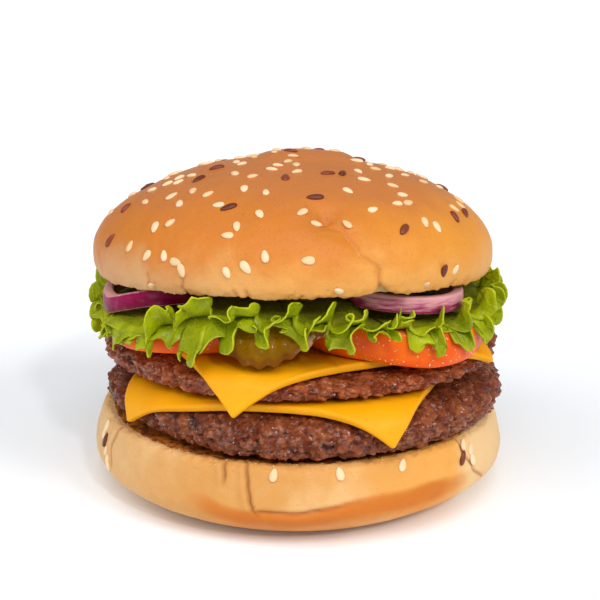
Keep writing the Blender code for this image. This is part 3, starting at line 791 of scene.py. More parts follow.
# Seeds that lie alone on the front: azimuth, climb, turn of the pointed end, and 1 for flax
FRONT_SEEDS = (
    (-106, 25, 285, 0), (-108, 20, 180, 0), (-100, 32, 300, 0), (-111, 36, 215, 1),
    (-115, 37, 190, 0), (-128, 25, 55, 0), (-133, 22, 290, 0), (-130, 36, 125, 0),
    (-158, 30, 105, 1), (-152, 11, 55, 1), (-140, 10, 75, 0), (-132, 6, 235, 0),
    (-126, 7, 105, 0), (-122, 4, 350, 0), (-120, -2, 285, 0), (-107, -1, 295, 0),
    (-102, 3, 310, 0), (-97, 9, 100, 0), (-131, -45, 45, 0), (-82, 43, 185, 1),
    (-87, 34, 220, 0), (-83, 29, 340, 0), (-74, 27, 125, 0), (-64, 34, 20, 0),
    (-53, 37, 175, 0), (-48, 37, 10, 0), (-57, 22, 220, 1), (-48, 25, 250, 0),
    (-44, 22, 265, 0), (-32, 26, 255, 1), (-22, 27, 210, 1), (-86, 7, 180, 0),
    (-78, -45, 125, 0), (-46, -14, 280, 1), (-41, -14, 85, 0), (-52, -42, 100, 0),
)


def crown_seeds():
    """Each seed of the top bun: azimuth, climb, turn in radians and whether it is flax."""
    draw = random.Random(SEED_DRAW)
    chosen = [(*place, math.radians(turn), flax) for *place, turn, flax in FRONT_SEEDS]
    taken = [crown_point(azimuth, climb, fine=False)[0] for azimuth, climb, *_ in chosen]
    for wanted, back_side in ((CLOSE_SEEDS, False), (BACK_SEEDS, True)):
        found = 0
        while found < wanted:
            azimuth = draw.uniform(10, 170) if back_side else draw.uniform(-180, 180)
            climb = math.degrees(math.asin(math.sqrt(draw.uniform(0.0, 0.998))))
            close = keyed(CLOSE_COVER, azimuth)
            point = crown_point(azimuth, climb, fine=False)[0]
            turn = draw.uniform(0, 2 * math.pi)
            flax = draw.random() < FLAX_SHARE
            crowded = any((point - other).length < SEED_SPACING for other in taken)
            if (climb < close) != back_side or crowded:
                continue
            taken.append(point)
            chosen.append((azimuth, climb, turn, flax))
            found += 1
    return chosen


CROWN_SEEDS = crown_seeds()
print("seeds on the top bun:", len(CROWN_SEEDS))

# %% Lay the seeds
SEED_LIFT = 0.12  # how far the middle of a seed stands out of the crust


def seed_finish(name, colour, other, roughness, coat):
    """A seed coat with faint streaks and a shade of its own for each seed."""
    finish = Finish(name, Subsurface_Weight=0.10, Subsurface_Scale=0.8 * MM, Coat_Roughness=0.25,
                    Specular_IOR_Level=0.25)
    shade = finish.blend(finish.read("tint"), screen(*colour), screen(*other))
    streaks = finish.cloud(0.35, detail=2.0)
    shade = finish.blend(0.3 * streaks, shade, screen(*other))
    return finish.surface(shade, roughness + 0.1 * streaks, streaks, depth=0.05, coat=coat)


# Each kind: length, width and height, how far it narrows to its point, and its coat
SEED_KINDS = {
    "sesame": ((3.3, 2.4, 1.2), 0.38,
               seed_finish("sesame", (248, 222, 184), (232, 192, 142), 0.45, 0.10)),
    "flax": ((4.3, 2.2, 1.5), 0.22, seed_finish("flax", (152, 74, 42), (104, 46, 26), 0.34, 0.15)),
}


def level_way(up):
    """A level direction along a crust that faces up, or +X where the crust itself is level."""
    level = Vector((0.0, 0.0, 1.0)).cross(up)
    return (level if level.length > 0.1 else Vector((1.0, 0.0, 0.0))).normalized()


def lie_on(up, turn):
    """The turn, as three angles, of a seed that lies flat on a crust that faces up."""
    along = level_way(up)
    direction = along * math.cos(turn) + up.cross(along) * math.sin(turn)
    side = up.cross(direction)
    return Matrix((direction, side, up)).transposed().to_euler()


def lay_seeds(name, places, size, taper, material, draw_seed):
    """One piece with a seed at each (point, up, turn), each with a size of its own."""
    draw = random.Random(draw_seed)
    mesh = bpy.data.meshes.new(name + "_places")
    mesh.from_pydata([tuple((point + up * SEED_LIFT) * MM) for point, up, _ in places], [], [])
    # Adding an attribute moves the others in memory, so all are added before any is fetched
    for title, kind in (("lie", "FLOAT_VECTOR"), ("growth", "FLOAT_VECTOR"), ("tint", "FLOAT")):
        mesh.attributes.new(title, kind, "POINT")
    lie, growth, tint = (mesh.attributes[title] for title in ("lie", "growth", "tint"))
    for i, (_, up, turn) in enumerate(places):
        lie.data[i].vector = lie_on(up, turn)
        grown = draw.uniform(0.9, 1.1)
        growth.data[i].vector = (grown * draw.uniform(0.94, 1.06), grown, draw.uniform(0.9, 1.15))
        tint.data[i].value = draw.random()
    length, width, height = (value * MM for value in size)
    return grow(name, mesh, SEED_TREE, Length=length, Width=width, Height=height, Taper=taper,
                Material=material)


def lay_both_kinds(bun, places_of, slot, first_draw):
    """The sesame and the flax of one half of the bun, each as a piece of its own."""
    for number, (kind, (size, taper, coat)) in enumerate(SEED_KINDS.items()):
        places = places_of(kind == "flax")
        laid = lay_seeds(f"{bun}_{kind}", places, size, taper, coat, first_draw + number)
        dress(laid, coat, slot)


def crown_seed_places(flax_wanted):
    turned = CROWN_PLACE.to_3x3()
    places = []
    for azimuth, climb, turn, flax in CROWN_SEEDS:
        if bool(flax) == flax_wanted:
            point, up = crown_point(azimuth, climb)
            # The turn is given in the bun's own frame, before the bun is tilted
            direction = turned @ lie_on(up, turn).to_matrix().col[0]
            up = turned @ up
            along = level_way(up)
            turn = math.atan2(direction.dot(up.cross(along)), direction.dot(along))
            places.append((CROWN_PLACE @ point, up, turn))
    return places


lay_both_kinds("top_bun", crown_seed_places, "bun_crust", 21)

# %% [markdown]
# ## The bottom bun
#
# The heel of the roll is paler and firm, with a browned band where it sat on the hot plate, a
# toasted cut face and four cracks round its side. Its side is a turned profile, read through a
# smooth curve so that it has no corners. The cracks, and a crease over the browned band, are thin
# valleys in the same sum of relief as before.

# %% Shape of the bottom bun
HEEL_HOLLOW = 0.4
HEEL_CENTRE = (-0.7, 0.0)
HEEL_SIDE = (  # radius and height, from the foot to the toasted rim
    (43.0, 0.0), (47.0, 1.3), (50.6, 3.2), (53.6, 5.2), (55.8, 7.2), (56.8, 9.8), (56.5, 13.0),
    (55.6, 16.5), (54.4, 20.0), (53.1, 21.0),
)
# Cracks in the side: height and azimuth of their points, top first
HEEL_CRACKS = (
    ((20.5, -103.8), (16.5, -103.0), (13.0, -102.2), (11.3, -101.4), (9.0, -99.6)),
    ((21.0, -109.8), (18.0, -109.3), (15.4, -109.5)),
    ((21.0, -39.4), (18.0, -39.0), (13.0, -35.4), (7.0, -28.4)),
    ((20.0, -152.0), (15.0, -154.0), (9.0, -152.0)),
)


def cubic(p, q, r, s, t):
    """A value that goes smoothly from q to r as t goes from 0 to 1, with p before and s after."""
    bent = (2 * p - 5 * q + 4 * r - s) * t**2 + (3 * q - p - 3 * r + s) * t**3
    return 0.5 * (2 * q + (r - p) * t + bent)


def curve_through(points, steps):
    """Points on a smooth curve through the given points, steps for each stretch."""
    ends = [points[0], *points, points[-1]]
    for a, b, c, d in zip(ends, ends[1:], ends[2:], ends[3:]):
        for k in range(steps):
            t = k / steps
            yield tuple(cubic(*corner, t) for corner in zip(a, b, c, d))
    yield points[-1]


def band_height(azimuth):
    """Mid height of the browned band: it lies lower at the front than at the right and the back."""
    return 11.2 - 2.6 * window(azimuth, -118, -104, -94, -68)


def heel_detail(azimuth, height, x, y):
    """The fine relief of the side with its cracks and its crease, and how creased it is there."""
    detail = 0.20 * lumps((x, y, height), 8, 50) + 0.10 * lumps((x, y, height), 2.5, 51)
    crease = 0.0
    for crack in HEEL_CRACKS:
        low, high = crack[-1][0], crack[0][0]
        if low - 1 < height < high + 1 and abs(azimuth - crack[0][1]) < 16:
            centre = keyed(sorted(crack), height) + 0.5 * lumps((height, crack[0][1], 0), 3, 52)
            fade = smooth(low - 0.5, low + 2.5, height)
            across = azimuth - centre
            crease = max(crease, fade * hump(across, 0.5))
            detail += 0.35 * fade * hump(across + 1.5, 1.1)
    front = window(azimuth, -102, -99, -86, -70)
    level = band_height(azimuth) + 2.0 + 0.4 * lumps((azimuth, 0, 0), 6, 53)
    crease = max(crease, 0.8 * front * hump(height - level, 0.4))
    detail += 0.40 * front * hump(height - level + 1.8, 1.3)
    return detail - 0.9 * crease, crease


HEEL_PROFILE = list(curve_through(HEEL_SIDE, 6))
print("points on the side of the bottom bun:", len(HEEL_PROFILE))

# %% Finish of the bottom bun
HEEL_BROWN = screen(202, 114, 34)
HEEL_GOLD = screen(211, 150, 78)
HEEL_BRIGHT = screen(230, 162, 74)
HEEL_PALE = screen(234, 193, 138)
TOAST = screen(128, 66, 26)


def heel_finish():
    finish = Finish("pale_crust", Subsurface_Weight=0.08, Subsurface_Scale=1.2 * MM,
                    Specular_IOR_Level=0.26)
    patches = finish.cloud(18.0, detail=2.0)
    fine = finish.cloud(0.5, detail=2.0)
    pores = 1 - finish.cells(0.8).rise(0.05, 0.30)
    across = finish.across()
    # Painted light: brighter gold towards the right, where the key falls
    gold = finish.blend(across.rise(0.0, 36.0), HEEL_GOLD, HEEL_BRIGHT)
    # Paler in random patches, and painted light that makes the far left and the far right paler
    pale = patches.rise(0.45, 0.75) * 0.5 + across.rise(38.0, 48.0)
    pale += (1 - across.rise(-56.0, -20.0)) * 0.6
    mottled = 0.5 * (finish.cloud(4.0, detail=4.0, roughness=0.65) - 0.5)
    colour = finish.blend((pale + mottled).rise(-0.1, 1.0), gold, HEEL_PALE)
    scorched = 0.65 * (finish.cloud(11.0) - 0.5) + 0.5 * mottled
    browned = (finish.read("browned") + scorched).rise(0.20, 0.95)
    colour = finish.blend(browned, colour, HEEL_BROWN)
    # Painted shade: the cracks and the crease over the browned band are painted dark brown, as shade
    # in them
    colour = finish.blend(0.65 * finish.read("creased"), colour, TOAST)
    colour = finish.blend(0.3 * pores * finish.cloud(3.0).rise(0.5, 0.7), colour, CRUST_SPOT)
    toasted = (finish.read("toasted") + 0.7 * (finish.cloud(1.6) - 0.5)).rise(0.3, 0.7)
    toast = finish.blend(finish.cloud(2.2).rise(0.4, 0.6), TOAST, HEEL_BROWN)
    colour = finish.blend(toasted, colour, toast)
    roughness = 0.50 + 0.2 * fine + 0.2 * toasted
    pebbles = finish.cloud(2.5, detail=3.0)
    height = 0.5 * fine + 0.5 * (1 - pores) + 0.7 * pebbles
    return finish.surface(colour, roughness, height, depth=0.13)


# %% Mesh of the bottom bun
HEEL_SIDES = 800
CUT_FACE_HEIGHT = HEEL_HEIGHT - HEEL_HOLLOW
# Radius and height of the rings of the foot, and of the rim and the cut face inside it
HEEL_FOOT = [(20.0, 0.0), (36.0, 0.0)]
HEEL_INSIDE = [(52.6 - 0.4 * k, HEEL_HEIGHT - 0.05 * k) for k in range(9)]
HEEL_INSIDE += [(radius, CUT_FACE_HEIGHT) for radius in (46.0, 40.0, 20.0)]


def heel_mesh():
    """The heel, with how browned, toasted, grainy and creased each point is."""
    rows, browned, toasted, grainy, creased = [[(*HEEL_CENTRE, 0.0)]], [0.3], [0.0], [0.0], [0.0]
    for radius, height in HEEL_FOOT + HEEL_PROFILE + HEEL_INSIDE:
        # The crust folds a little way in over the cut face, and the toasted crumb starts inside it
        face = smooth(51.9, 50.9, radius) if height > 15 else 0.0
        side = smooth(1, 4, height) * smooth(43, 50, radius)
        rough = max(face, smooth(CUT_FACE_HEIGHT - 1, CUT_FACE_HEIGHT, height))
        row = []
        for i in range(HEEL_SIDES):
            azimuth = 360 * i / HEEL_SIDES - 180
            x, y = polar(radius, azimuth)
            puff = 0.7 * lumps((x, y, 0), 30, 1) * smooth(0, 4, height) * smooth(40, 50, radius)
            detail, crease = heel_detail(azimuth, height, x, y)
            puff += side * (1 - face) * detail
            creased.append(side * (1 - face) * crease)
            puff += 0.25 * rough * lumps((x, y, 3), 1.1, 55)
            x, y = polar(radius + puff, azimuth, HEEL_CENTRE)
            pits = 0.35 * lumps((x, y, 0), 2.0, 56) + 0.2 * lumps((x, y, 0), 0.9, 57)
            z = height + rough * (pits - 0.2)
            z -= HEEL_SLOPE * y * smooth(9, 20, height)
            row.append((x, y, max(0.0, z)))
            front = window(azimuth, -126, -104, -52, -34)
            over = height - band_height(azimuth)
            band = smooth(4.0, 1.4, over) * (0.5 + 0.5 * hump(over, 3.0))
            browned.append(band * (0.25 + 0.72 * front))
            toasted.append(face)
            grainy.append(float(height > 20.3 and 50 < radius))
        rows.append(row)
    rows.append([(*HEEL_CENTRE, CUT_FACE_HEIGHT)])
    for values in (browned, toasted, grainy, creased):
        values.append(0.0)
    return skin("bottom_bun_crust", rows, browned=browned, toasted=toasted, grainy=grainy,
                creased=creased)


heel = heel_mesh()
heel_crumbs = scatter("bottom_bun_crumbs", heel, CRUMBS, density=2.0e5, size=0.25, flatness=0.8,
                      draw=4)
dress(heel, heel_finish(), "bun_pale_crust", "bun_bottom")
dress(heel_crumbs, CRUMBS, "bun_pale_crust")

# %% Seeds of the bottom bun
# Each seed: azimuth, height up the side, turn of its long side, and 1 for flax
HEEL_SEEDS = (
    (-160, 20.2, 80, 0), (-161, 17.6, 95, 0), (-159, 16.4, 75, 1), (-157, 13.6, 80, 0),
    (-155, 12, 100, 0), (-154, 9.6, 75, 0), (-96, 20.5, 80, 0), (-79, 20.7, 100, 0),
    (-61, 20.6, 70, 0), (-40, 16.8, 60, 1), (-38, 20.6, 80, 0), (-35, 18.4, 60, 0),
    (-35, 15.4, 95, 0), (20, 14, 60, 0), (70, 12, 100, 0), (115, 15, 80, 1), (150, 13, 70, 0),
)
OUTSIDE_RADIUS = 60.0  # seeds are looked for from here inwards


def heel_seed_places(flax_wanted):
    places = []
    for azimuth, height, turn, flax_seed in HEEL_SEEDS:
        if bool(flax_seed) == flax_wanted:
            x, y = polar(OUTSIDE_RADIUS, azimuth, HEEL_CENTRE)
            near = Vector((x, y, height - HEEL_SLOPE * y * smooth(9, 20, height))) * MM
            _, point, up, _ = heel.closest_point_on_mesh(near)
            up = Vector((*polar(1.0, azimuth), up.z)).normalized()
            places.append((point / MM, up, math.radians(turn)))
    return places


lay_both_kinds("bottom_bun", heel_seed_places, "bun_pale_crust", 23)

# %% [markdown]
# ## The beef
#
# Two patties pressed by hand from coarse mince. What makes them look like beef is the crumbly edge:
# pieces of meat a few millimetres across, with dark crevices between them, all shining with fat.
# Cells of noise give just that: the gap between the nearest and the second nearest cell centre is
# small along a crevice and large on a piece. Bump alone would leave a smooth outline, so the
# crevices are cut into the mesh, coarse and fine ones together, and the finish reads the same depth
# to paint shade into them. The cells are bent by a noise that starts from a random draw, so the
# draw is fixed.

# %% Shape of the beef
PATTY_EDGE = 8.0  # how far the rounded edge reaches in
PRESSED = 0.42  # below 1 for an edge squarer than a quarter circle
# The radius of each patty, by azimuth
LOWER_PATTY = (
    (-180, 54.0), (-165, 53.0), (-145, 51.6), (-128, 52.4), (-108, 54.6), (-60, 56.0), (-20, 56.0),
    (90, 55.0),
)
UPPER_PATTY = ((-180, 54.3), (-140, 52.5), (-100, 53.0), (-60, 53.6), (-20, 54.2), (90, 54.5))
LOWER_DRAW, UPPER_DRAW = 20, 40  # the seeds of their noise
MINCE_DRAW = 7
noise.seed_set(MINCE_DRAW)
# The rings of a patty: how far round its edge they lie, from -90 below to 90 on top, and their
# share of its radius
PATTY_LEANS = [-90, -89, -88, -86, -83, -79, *[-75 + 4.5 * i for i in range(36)], 87, 90]
PATTY_RINGS = [(-90, share) for share in (0.4, 0.75, 0.9)]
PATTY_RINGS += [(lean, 1.0) for lean in PATTY_LEANS]
PATTY_RINGS += [
    (90, share) for share in (0.98, 0.96, 0.94, 0.92, 0.9, 0.87, 0.84, 0.8, 0.7, 0.5, 0.25)
]


def patty_radius(azimuth, outline, seed):
    return keyed(outline, azimuth) - 0.5 + 0.8 * lumps((*polar(30.0, azimuth), 0), 14, seed)


def mince(point, size, seed):
    """0 in the crevices between pieces of meat and 1 on top of them."""
    place = Vector(point) / size + Vector((seed * 7.3, seed * 3.1, seed * 5.7))
    place += 0.45 * noise.noise_vector(place * 0.9)
    distances = noise.voronoi(place)[0]
    return smooth(0.0, 0.34, distances[1] - distances[0])


def meat(point, seed):
    """Relief of the mince at a point, from 0 to 1."""
    coarse = mince(point, 5.4, seed)
    fine = mince(point, 2.3, seed + 1)
    hole = smooth(0.34, 0.60, lumps(point, 4.0, seed + 3))
    grit = lumps(point, 1.0, seed + 2)
    return max(0.0, 0.45 * coarse + 0.34 * fine + 0.24 - 0.40 * hole + 0.22 * grit)


def patty(name, bottom, top, outline, seed, sides=640):
    """A patty between two surfaces. The meat value of a point is its height in the mince."""
    rows, depth = [[(0, 0, bottom(0, 0) + 0.3)]], [0.5]
    for lean, share in PATTY_RINGS:
        turn = math.radians(lean)
        # The edge is rounder above than below, where the patty was pressed on the plate
        bulge = abs(math.cos(turn)) ** (PRESSED if turn < 0 else 1.0)
        side = math.cos(turn) ** 0.5 if abs(lean) < 90 else 0.0
        row = []
        for i in range(sides):
            azimuth = 360 * i / sides
            rim = patty_radius(azimuth, outline, seed)
            reach = (rim - PATTY_EDGE + PATTY_EDGE * bulge) * share
            x, y = polar(reach, azimuth)
            z = mix(bottom(x, y), top(x, y), 0.5 + 0.5 * math.sin(turn))
            crag = 0.5 + 0.5 * lumps((x, y, z), 5.0, seed + 2)
            relief = meat((x, y, z), seed + 5)
            inward = (1.1 * crag + 2.1 * (1 - relief) - 1.2) * side
            sink = 0.6 * crag + 0.9 * (1 - relief)
            x, y = polar(reach - inward, azimuth)
            row.append((x, y, z - sink * math.sin(turn)))
            depth.append(relief)
        rows.append(row)
    rows.append([(0, 0, top(0, 0) - 0.5)])
    depth.append(0.5)
    return skin(name, rows, meat=depth, grainy=[float(value > 0.45) for value in depth])


print("relief at the front of the beef:", round(meat((0, -55, 27), 25), 2))

# %% Finish of the beef
# Brown, seared and pink are the meat's own colours; the dark one is painted shade for the crevices
BEEF_SHADES = {
    "brown": (154, 78, 38), "sear": (112, 42, 12), "pink": (194, 122, 80), "dark": (56, 20, 6),
}


def beef_finish(name, lift):
    """Seared mince. Its shades are multiplied by a factor, and a factor over 1 is painted light that
    makes the mince lighter.
    """
    shades = {
        title: screen(*(lift * value for value in shade)) for title, shade in BEEF_SHADES.items()
    }
    finish = Finish(name, Specular_IOR_Level=0.25, Coat_Roughness=0.14, Subsurface_Weight=0.04,
                    Subsurface_Scale=1.0 * MM)
    pieces = finish.cloud(3.6, detail=4.0, roughness=0.6)
    colour = finish.blend(pieces.rise(0.40, 0.62), shades["sear"], shades["brown"])
    crust = finish.cloud(9.0, detail=3.0).rise(0.50, 0.70)
    colour = finish.blend(0.6 * crust, colour, shades["sear"])
    fat = finish.cloud(2.0, detail=4.0, roughness=0.65).rise(0.50, 0.72)
    colour = finish.blend(0.75 * fat, colour, shades["pink"])
    relief = finish.read("meat")
    # Painted shade: darker where the relief is low, in the crevices between the pieces
    colour = finish.blend(1 - relief.rise(0.04, 0.52), colour, shades["dark"])
    fibres = finish.cloud(0.9, detail=4.0, roughness=0.7)
    wet = finish.cloud(1.4, detail=2.0).rise(0.44, 0.62)
    roughness = 0.54 - 0.26 * wet
    return finish.surface(colour, roughness, fibres, depth=0.9, coat=wet)


# The upper patty gets a lighter copy of the beef: painted light for its front, which lies in shade
# under what hangs over it
BEEF = {"lower": beef_finish("seared_beef", 1.0), "upper": beef_finish("seared_beef_painted_lighter", 1.14)}
print("beef finish:", len(BEEF["lower"].node_tree.nodes), "nodes")

# %% Mesh of the beef
def bead_finish():
    """Beads of fat or juice, coloured milky white as a painted glint, so that they show as pale
    points.
    """
    finish = Finish("juice_bead_painted_glint", Transmission_Weight=0.35, IOR=1.35)
    colour = finish.blend(finish.cloud(0.5), (1.0, 0.86, 0.66, 1.0), (1.0, 0.94, 0.80, 1.0))
    return finish.surface(colour, 0.04 + 0.03 * finish.cloud(0.4))


BEAD = bead_finish()
patty_lower = patty("lower_beef", lower_patty_bottom, lower_patty_top, LOWER_PATTY, LOWER_DRAW)
patty_upper = patty("upper_beef", upper_patty_bottom, upper_patty_crown, UPPER_PATTY, UPPER_DRAW)
for layer, made, draw in (("lower", patty_lower, 6), ("upper", patty_upper, 7)):
    grease = scatter(f"{layer}_beef_grease", made, BEAD, density=1.5e5, size=0.13, flatness=0.6,
                     draw=draw)
    dress(made, BEEF[layer], "beef", f"patty_{layer}")
    dress(grease, BEAD, "beef")

# %% [markdown]
# ## The cheese
#
# Two square slices of smooth processed cheese, laid on hot beef. The middle stays flat, and each
# corner bends over the edge of the beef and hangs. Cloth simulation could do it, but warm cheese
# bends along a simple path: it follows the rounded edge until it is as steep as its own stiffness
# lets it be, and then hangs straight. The function below walks along that path. The front side of
# the lower slice has also sagged out a little, left of its middle. Solidify gives each slice its
# thickness and Bevel its soft edge.

# %% How a slice bends over an edge
SLICE_SIDE = 78.5
SLICE_STEPS = 88
SLICE_LIFT = 0.1  # room under the slice for its own soft waves
SLICE_TURN_START = 0.4  # how far outside the flat top of the patty the slice starts to bend
SAG_MIDDLE, SAG_WIDTH = 0.36, 0.26  # where along its front side the lower slice sags out
DRAPE_STEP = math.radians(3)
# The slope in degrees at which each slice hangs on, by azimuth
LOWER_STEEPEST = ((-180, 72), (-140, 74), (-65, 70), (0, 50), (90, 50))
UPPER_STEEPEST = ((-180, 60), (-110, 62), (-60, 60), (-30, 70), (90, 50))


def drape(distance, edge, half, steepest):
    """Plan radius and drop of a slice that bends down over a patty's rounded edge.

    distance is the flat distance from the centre, edge the radius where the slice starts to bend,
    half the patty's half thickness, and steepest the slope at which the slice hangs on.
    """
    across = PATTY_EDGE + 0.5 * SLICE_THICKNESS + 2 * GAP
    down = half + 0.5 * SLICE_THICKNESS + GAP
    if distance <= edge:
        return distance, 0.0
    left = distance - edge
    radius, drop, turn = edge, 0.0, 0.0
    while math.degrees(turn) < 90:
        dr = across * math.cos(turn) * DRAPE_STEP
        dz = down * math.sin(turn) * DRAPE_STEP
        if math.degrees(math.atan2(dz, dr)) > steepest:
            break
        length = math.hypot(dr, dz)
        if left < length:
            return radius + dr * left / length, drop + dz * left / length
        left -= length
        radius += dr
        drop += dz
        turn += DRAPE_STEP
    lean = math.radians(steepest)
    return radius + left * math.cos(lean), drop + left * math.sin(lean)


def slice_mesh(name, centre, turn, base, outline, seed, half, steepest, bulge=0.0):
    """A slice laid on a patty. bulge is how far its front side has sagged out."""
    rows = []
    turned = Matrix.Rotation(math.radians(turn), 2)
    for i in range(SLICE_STEPS + 1):
        row = []
        for j in range(SLICE_STEPS + 1):
            right, back = i / SLICE_STEPS, j / SLICE_STEPS
            flat = SLICE_SIDE * Vector((right - 0.5, back - 0.5))
            flat.y -= bulge * hump(right - SAG_MIDDLE, SAG_WIDTH) * smooth(0.4, 0.0, back)
            x, y = Vector(centre) + turned @ flat
            azimuth = math.degrees(math.atan2(y, x))
            edge = patty_radius(azimuth, outline, seed) - PATTY_EDGE + SLICE_TURN_START
            reach, drop = drape(math.hypot(x, y), edge, half, keyed(steepest, azimuth))
            x, y = polar(reach, azimuth)
            wave = 0.12 * lumps((x, y, 0), 12, 60) + 0.10 * lumps((x, y, drop), 5, 61)
            middle = base(x, y) + GAP + SLICE_LIFT + SLICE_THICKNESS / 2
            row.append((x, y, middle - drop + wave))
        rows.append(row)
    made = sheet(name, rows)
    thicken(made, SLICE_THICKNESS)
    bevel = made.modifiers.new("soft edge", "BEVEL")
    bevel.width = 0.6 * MM
    bevel.segments = 3
    bevel.limit_method = "ANGLE"
    bevel.angle_limit = math.radians(50)
    return made


# %% Finish and mesh of the cheese
def cheese_finish():
    finish = Finish("processed_cheese", Subsurface_Weight=0.22, Subsurface_Scale=2.0 * MM,
                    Subsurface_Radius=(1.0, 0.45, 0.08), Specular_IOR_Level=0.20)
    soft = finish.cloud(9.0, detail=2.0)
    fine = finish.cloud(0.9, detail=3.0)
    colour = finish.blend(soft, screen(246, 172, 8), screen(238, 156, 2))
    roughness = 0.38 + 0.14 * soft + 0.06 * fine
    return finish.surface(colour, roughness, 0.6 * soft + 0.4 * fine, depth=0.12)


CHEESE = cheese_finish()
cheese_lower = slice_mesh(
    "lower_cheese", centre=(0.9, -9.2), turn=-19.0, base=lower_patty_top, outline=LOWER_PATTY,
    seed=LOWER_DRAW, half=5.2, steepest=LOWER_STEEPEST, bulge=3.4)
cheese_upper = slice_mesh(
    "upper_cheese", centre=(-0.9, -8.0), turn=27.0, base=upper_patty_top, outline=UPPER_PATTY,
    seed=UPPER_DRAW, half=4.2, steepest=UPPER_STEEPEST)
dress(cheese_lower, CHEESE, "cheese", "cheese_lower")
dress(cheese_upper, CHEESE, "cheese", "cheese_upper")

# %% [markdown]
# ## Tomato and pickle
#
# The tomato slices show their skin at the side, so they are glossy, thin and bright, with beads of
# juice. The pickle was cut with a crinkled blade: both faces carry the same ridges. It is soft, so
# it lies on the tomatoes and hangs down in front of them, and it shines where it is wet.

# %% Tomato slices
TOMATO_RADIUS = 24.6
TOMATO_CENTRES = ((-25.7, -17.8), (23.5, -21.5))
TOMATO_ANGULAR = 0.012  # how far it is from round, as a share of its radius
TOMATO_SIDE = 0.055  # how far its rounded side reaches in, as a share of its radius


def tomato_finish():
    finish = Finish("tomato_skin", Subsurface_Weight=0.06, Subsurface_Scale=1.5 * MM,
                    Subsurface_Radius=(1.0, 0.25, 0.05), Specular_IOR_Level=0.15,
                    Coat_Roughness=0.10)
    soft = finish.cloud(7.0, detail=2.0)
    specks = 1 - finish.cells(0.9).rise(0.06, 0.16)
    colour = finish.blend(soft.rise(0.3, 0.7), screen(232, 82, 0), screen(240, 106, 4))
    # Painted highlights: pale orange specks that stand in for glints on the wet skin
    colour = finish.blend(0.35 * specks, colour, screen(250, 150, 70))
    flesh = finish.blend(finish.cloud(2.0), screen(236, 92, 40), screen(246, 140, 84))
    colour = finish.blend(finish.read("cut"), colour, flesh)
    roughness = 0.28 + 0.12 * finish.cloud(2.0)
    return finish.surface(colour, roughness, specks + 0.4 * soft, depth=0.10, coat=0.04)


def rounded_side(reach, steps):
    """(share of the radius, height from -1 to 1) up the rounded side of a slice."""
    for k in range(steps + 1):
        turn = math.radians(mix(-90, 90, k / steps))
        yield 1 - reach + reach * math.cos(turn), math.sin(turn)


def tomato(name, centre, sides=200):
    """A slice, with how much each point belongs to the cut faces and how grainy it is."""
    profile = [(0.3, 0.0), (0.6, 0.0), (0.85, 0.0)]
    profile += [(share, 0.5 + 0.5 * height) for share, height in rounded_side(TOMATO_SIDE, 20)]
    profile += [(0.85, 1.0), (0.6, 1.0), (0.3, 1.0)]
    rows, cut, grainy = [[(*centre, tomato_bottom(*centre))]], [1.0], [0.0]
    for share, climb in profile:
        row = []
        for i in range(sides):
            azimuth = 360 * i / sides
            wide = TOMATO_RADIUS * (1 + TOMATO_ANGULAR * math.cos(math.radians(5 * azimuth)))
            wide += 0.15 * lumps((*polar(20, azimuth), 3 * climb), 6, 70)
            x, y = polar(wide * share, azimuth, centre)
            row.append((x, y, mix(tomato_bottom(x, y), tomato_top(x, y), climb)))
            cut.append(smooth(0.965, 0.945, share))
            grainy.append(smooth(0.96, 0.98, share) * float(y < centre[1] + 8))
        rows.append(row)
    rows.append([(*centre, tomato_top(*centre))])
    cut.append(1.0)
    grainy.append(0.0)
    return skin(name, rows, cut=cut, grainy=grainy)


TOMATO = tomato_finish()
for side_name, centre, draw in zip(("left", "right"), TOMATO_CENTRES, (8, 9)):
    tomato_slice = tomato(f"{side_name}_tomato", centre)
    beads = scatter(f"{side_name}_tomato_beads", tomato_slice, BEAD, density=2.4e5, size=0.17,
                    flatness=0.6, draw=draw, roundness=2)
    dress(tomato_slice, TOMATO, "tomato", f"tomato_{side_name}")
    dress(beads, BEAD, "tomato")

# %% Pickle slice
PICKLE_RADIUS = 16.8
PICKLE_THICKNESS = 3.4
PICKLE_CENTRE = (-7.0, -36.4)
PICKLE_SIDE = 0.045  # how far its rounded side reaches in, as a share of its radius
PICKLE_SHARES = (0.15, 0.3, 0.45, 0.6, 0.72, 0.82, 0.9)  # rings of each face, middle to edge
CRINKLE, RIDGE = 0.45, 4.0  # how high the ridges are, and how far apart


def pickle_middle(x, y):
    """Mid height of the pickle, which lies on the tomatoes and hangs down in front of them."""
    hang = 0.105 * max(0.0, math.hypot(x, y) - 45.0) ** 2
    hang += 1.8 * smooth(-4, 8, x) * smooth(-38, -45, y)
    return tomato_top(x, y) + GAP + 0.5 * PICKLE_THICKNESS + 0.5 - hang


def pickle(name, sides=220):
    """A crinkled slice, with how high on it and how near to its rind each point is."""
    profile = [(share, -1.0) for share in PICKLE_SHARES]
    profile += rounded_side(PICKLE_SIDE, 15)
    profile += [(share, 1.0) for share in reversed(PICKLE_SHARES)]
    rows, level, rind = [], [], []
    for share, height in [(0.0, -1.0), *profile, (0.0, 1.0)]:
        row = []
        for i in range(sides if share else 1):
            azimuth = 360 * i / sides
            uneven = 1 + 0.012 * lumps((*polar(9, azimuth), height), 4, 72)
            x, y = polar(PICKLE_RADIUS * share * uneven, azimuth, PICKLE_CENTRE)
            z = pickle_middle(x, y) + 0.5 * PICKLE_THICKNESS * height
            z += CRINKLE * math.cos(2 * math.pi * x / RIDGE)
            seedy = smooth(0.8, 0.3, share) * abs(height)
            z += seedy * 0.25 * lumps((x, y, 0), 2.2, 73)
            row.append((x, y, z))
            level.append(0.5 + 0.5 * height)
            rind.append(smooth(0.90, 0.99, share))
        rows.append(row)
    return skin(name, rows, level=level, rind=rind)


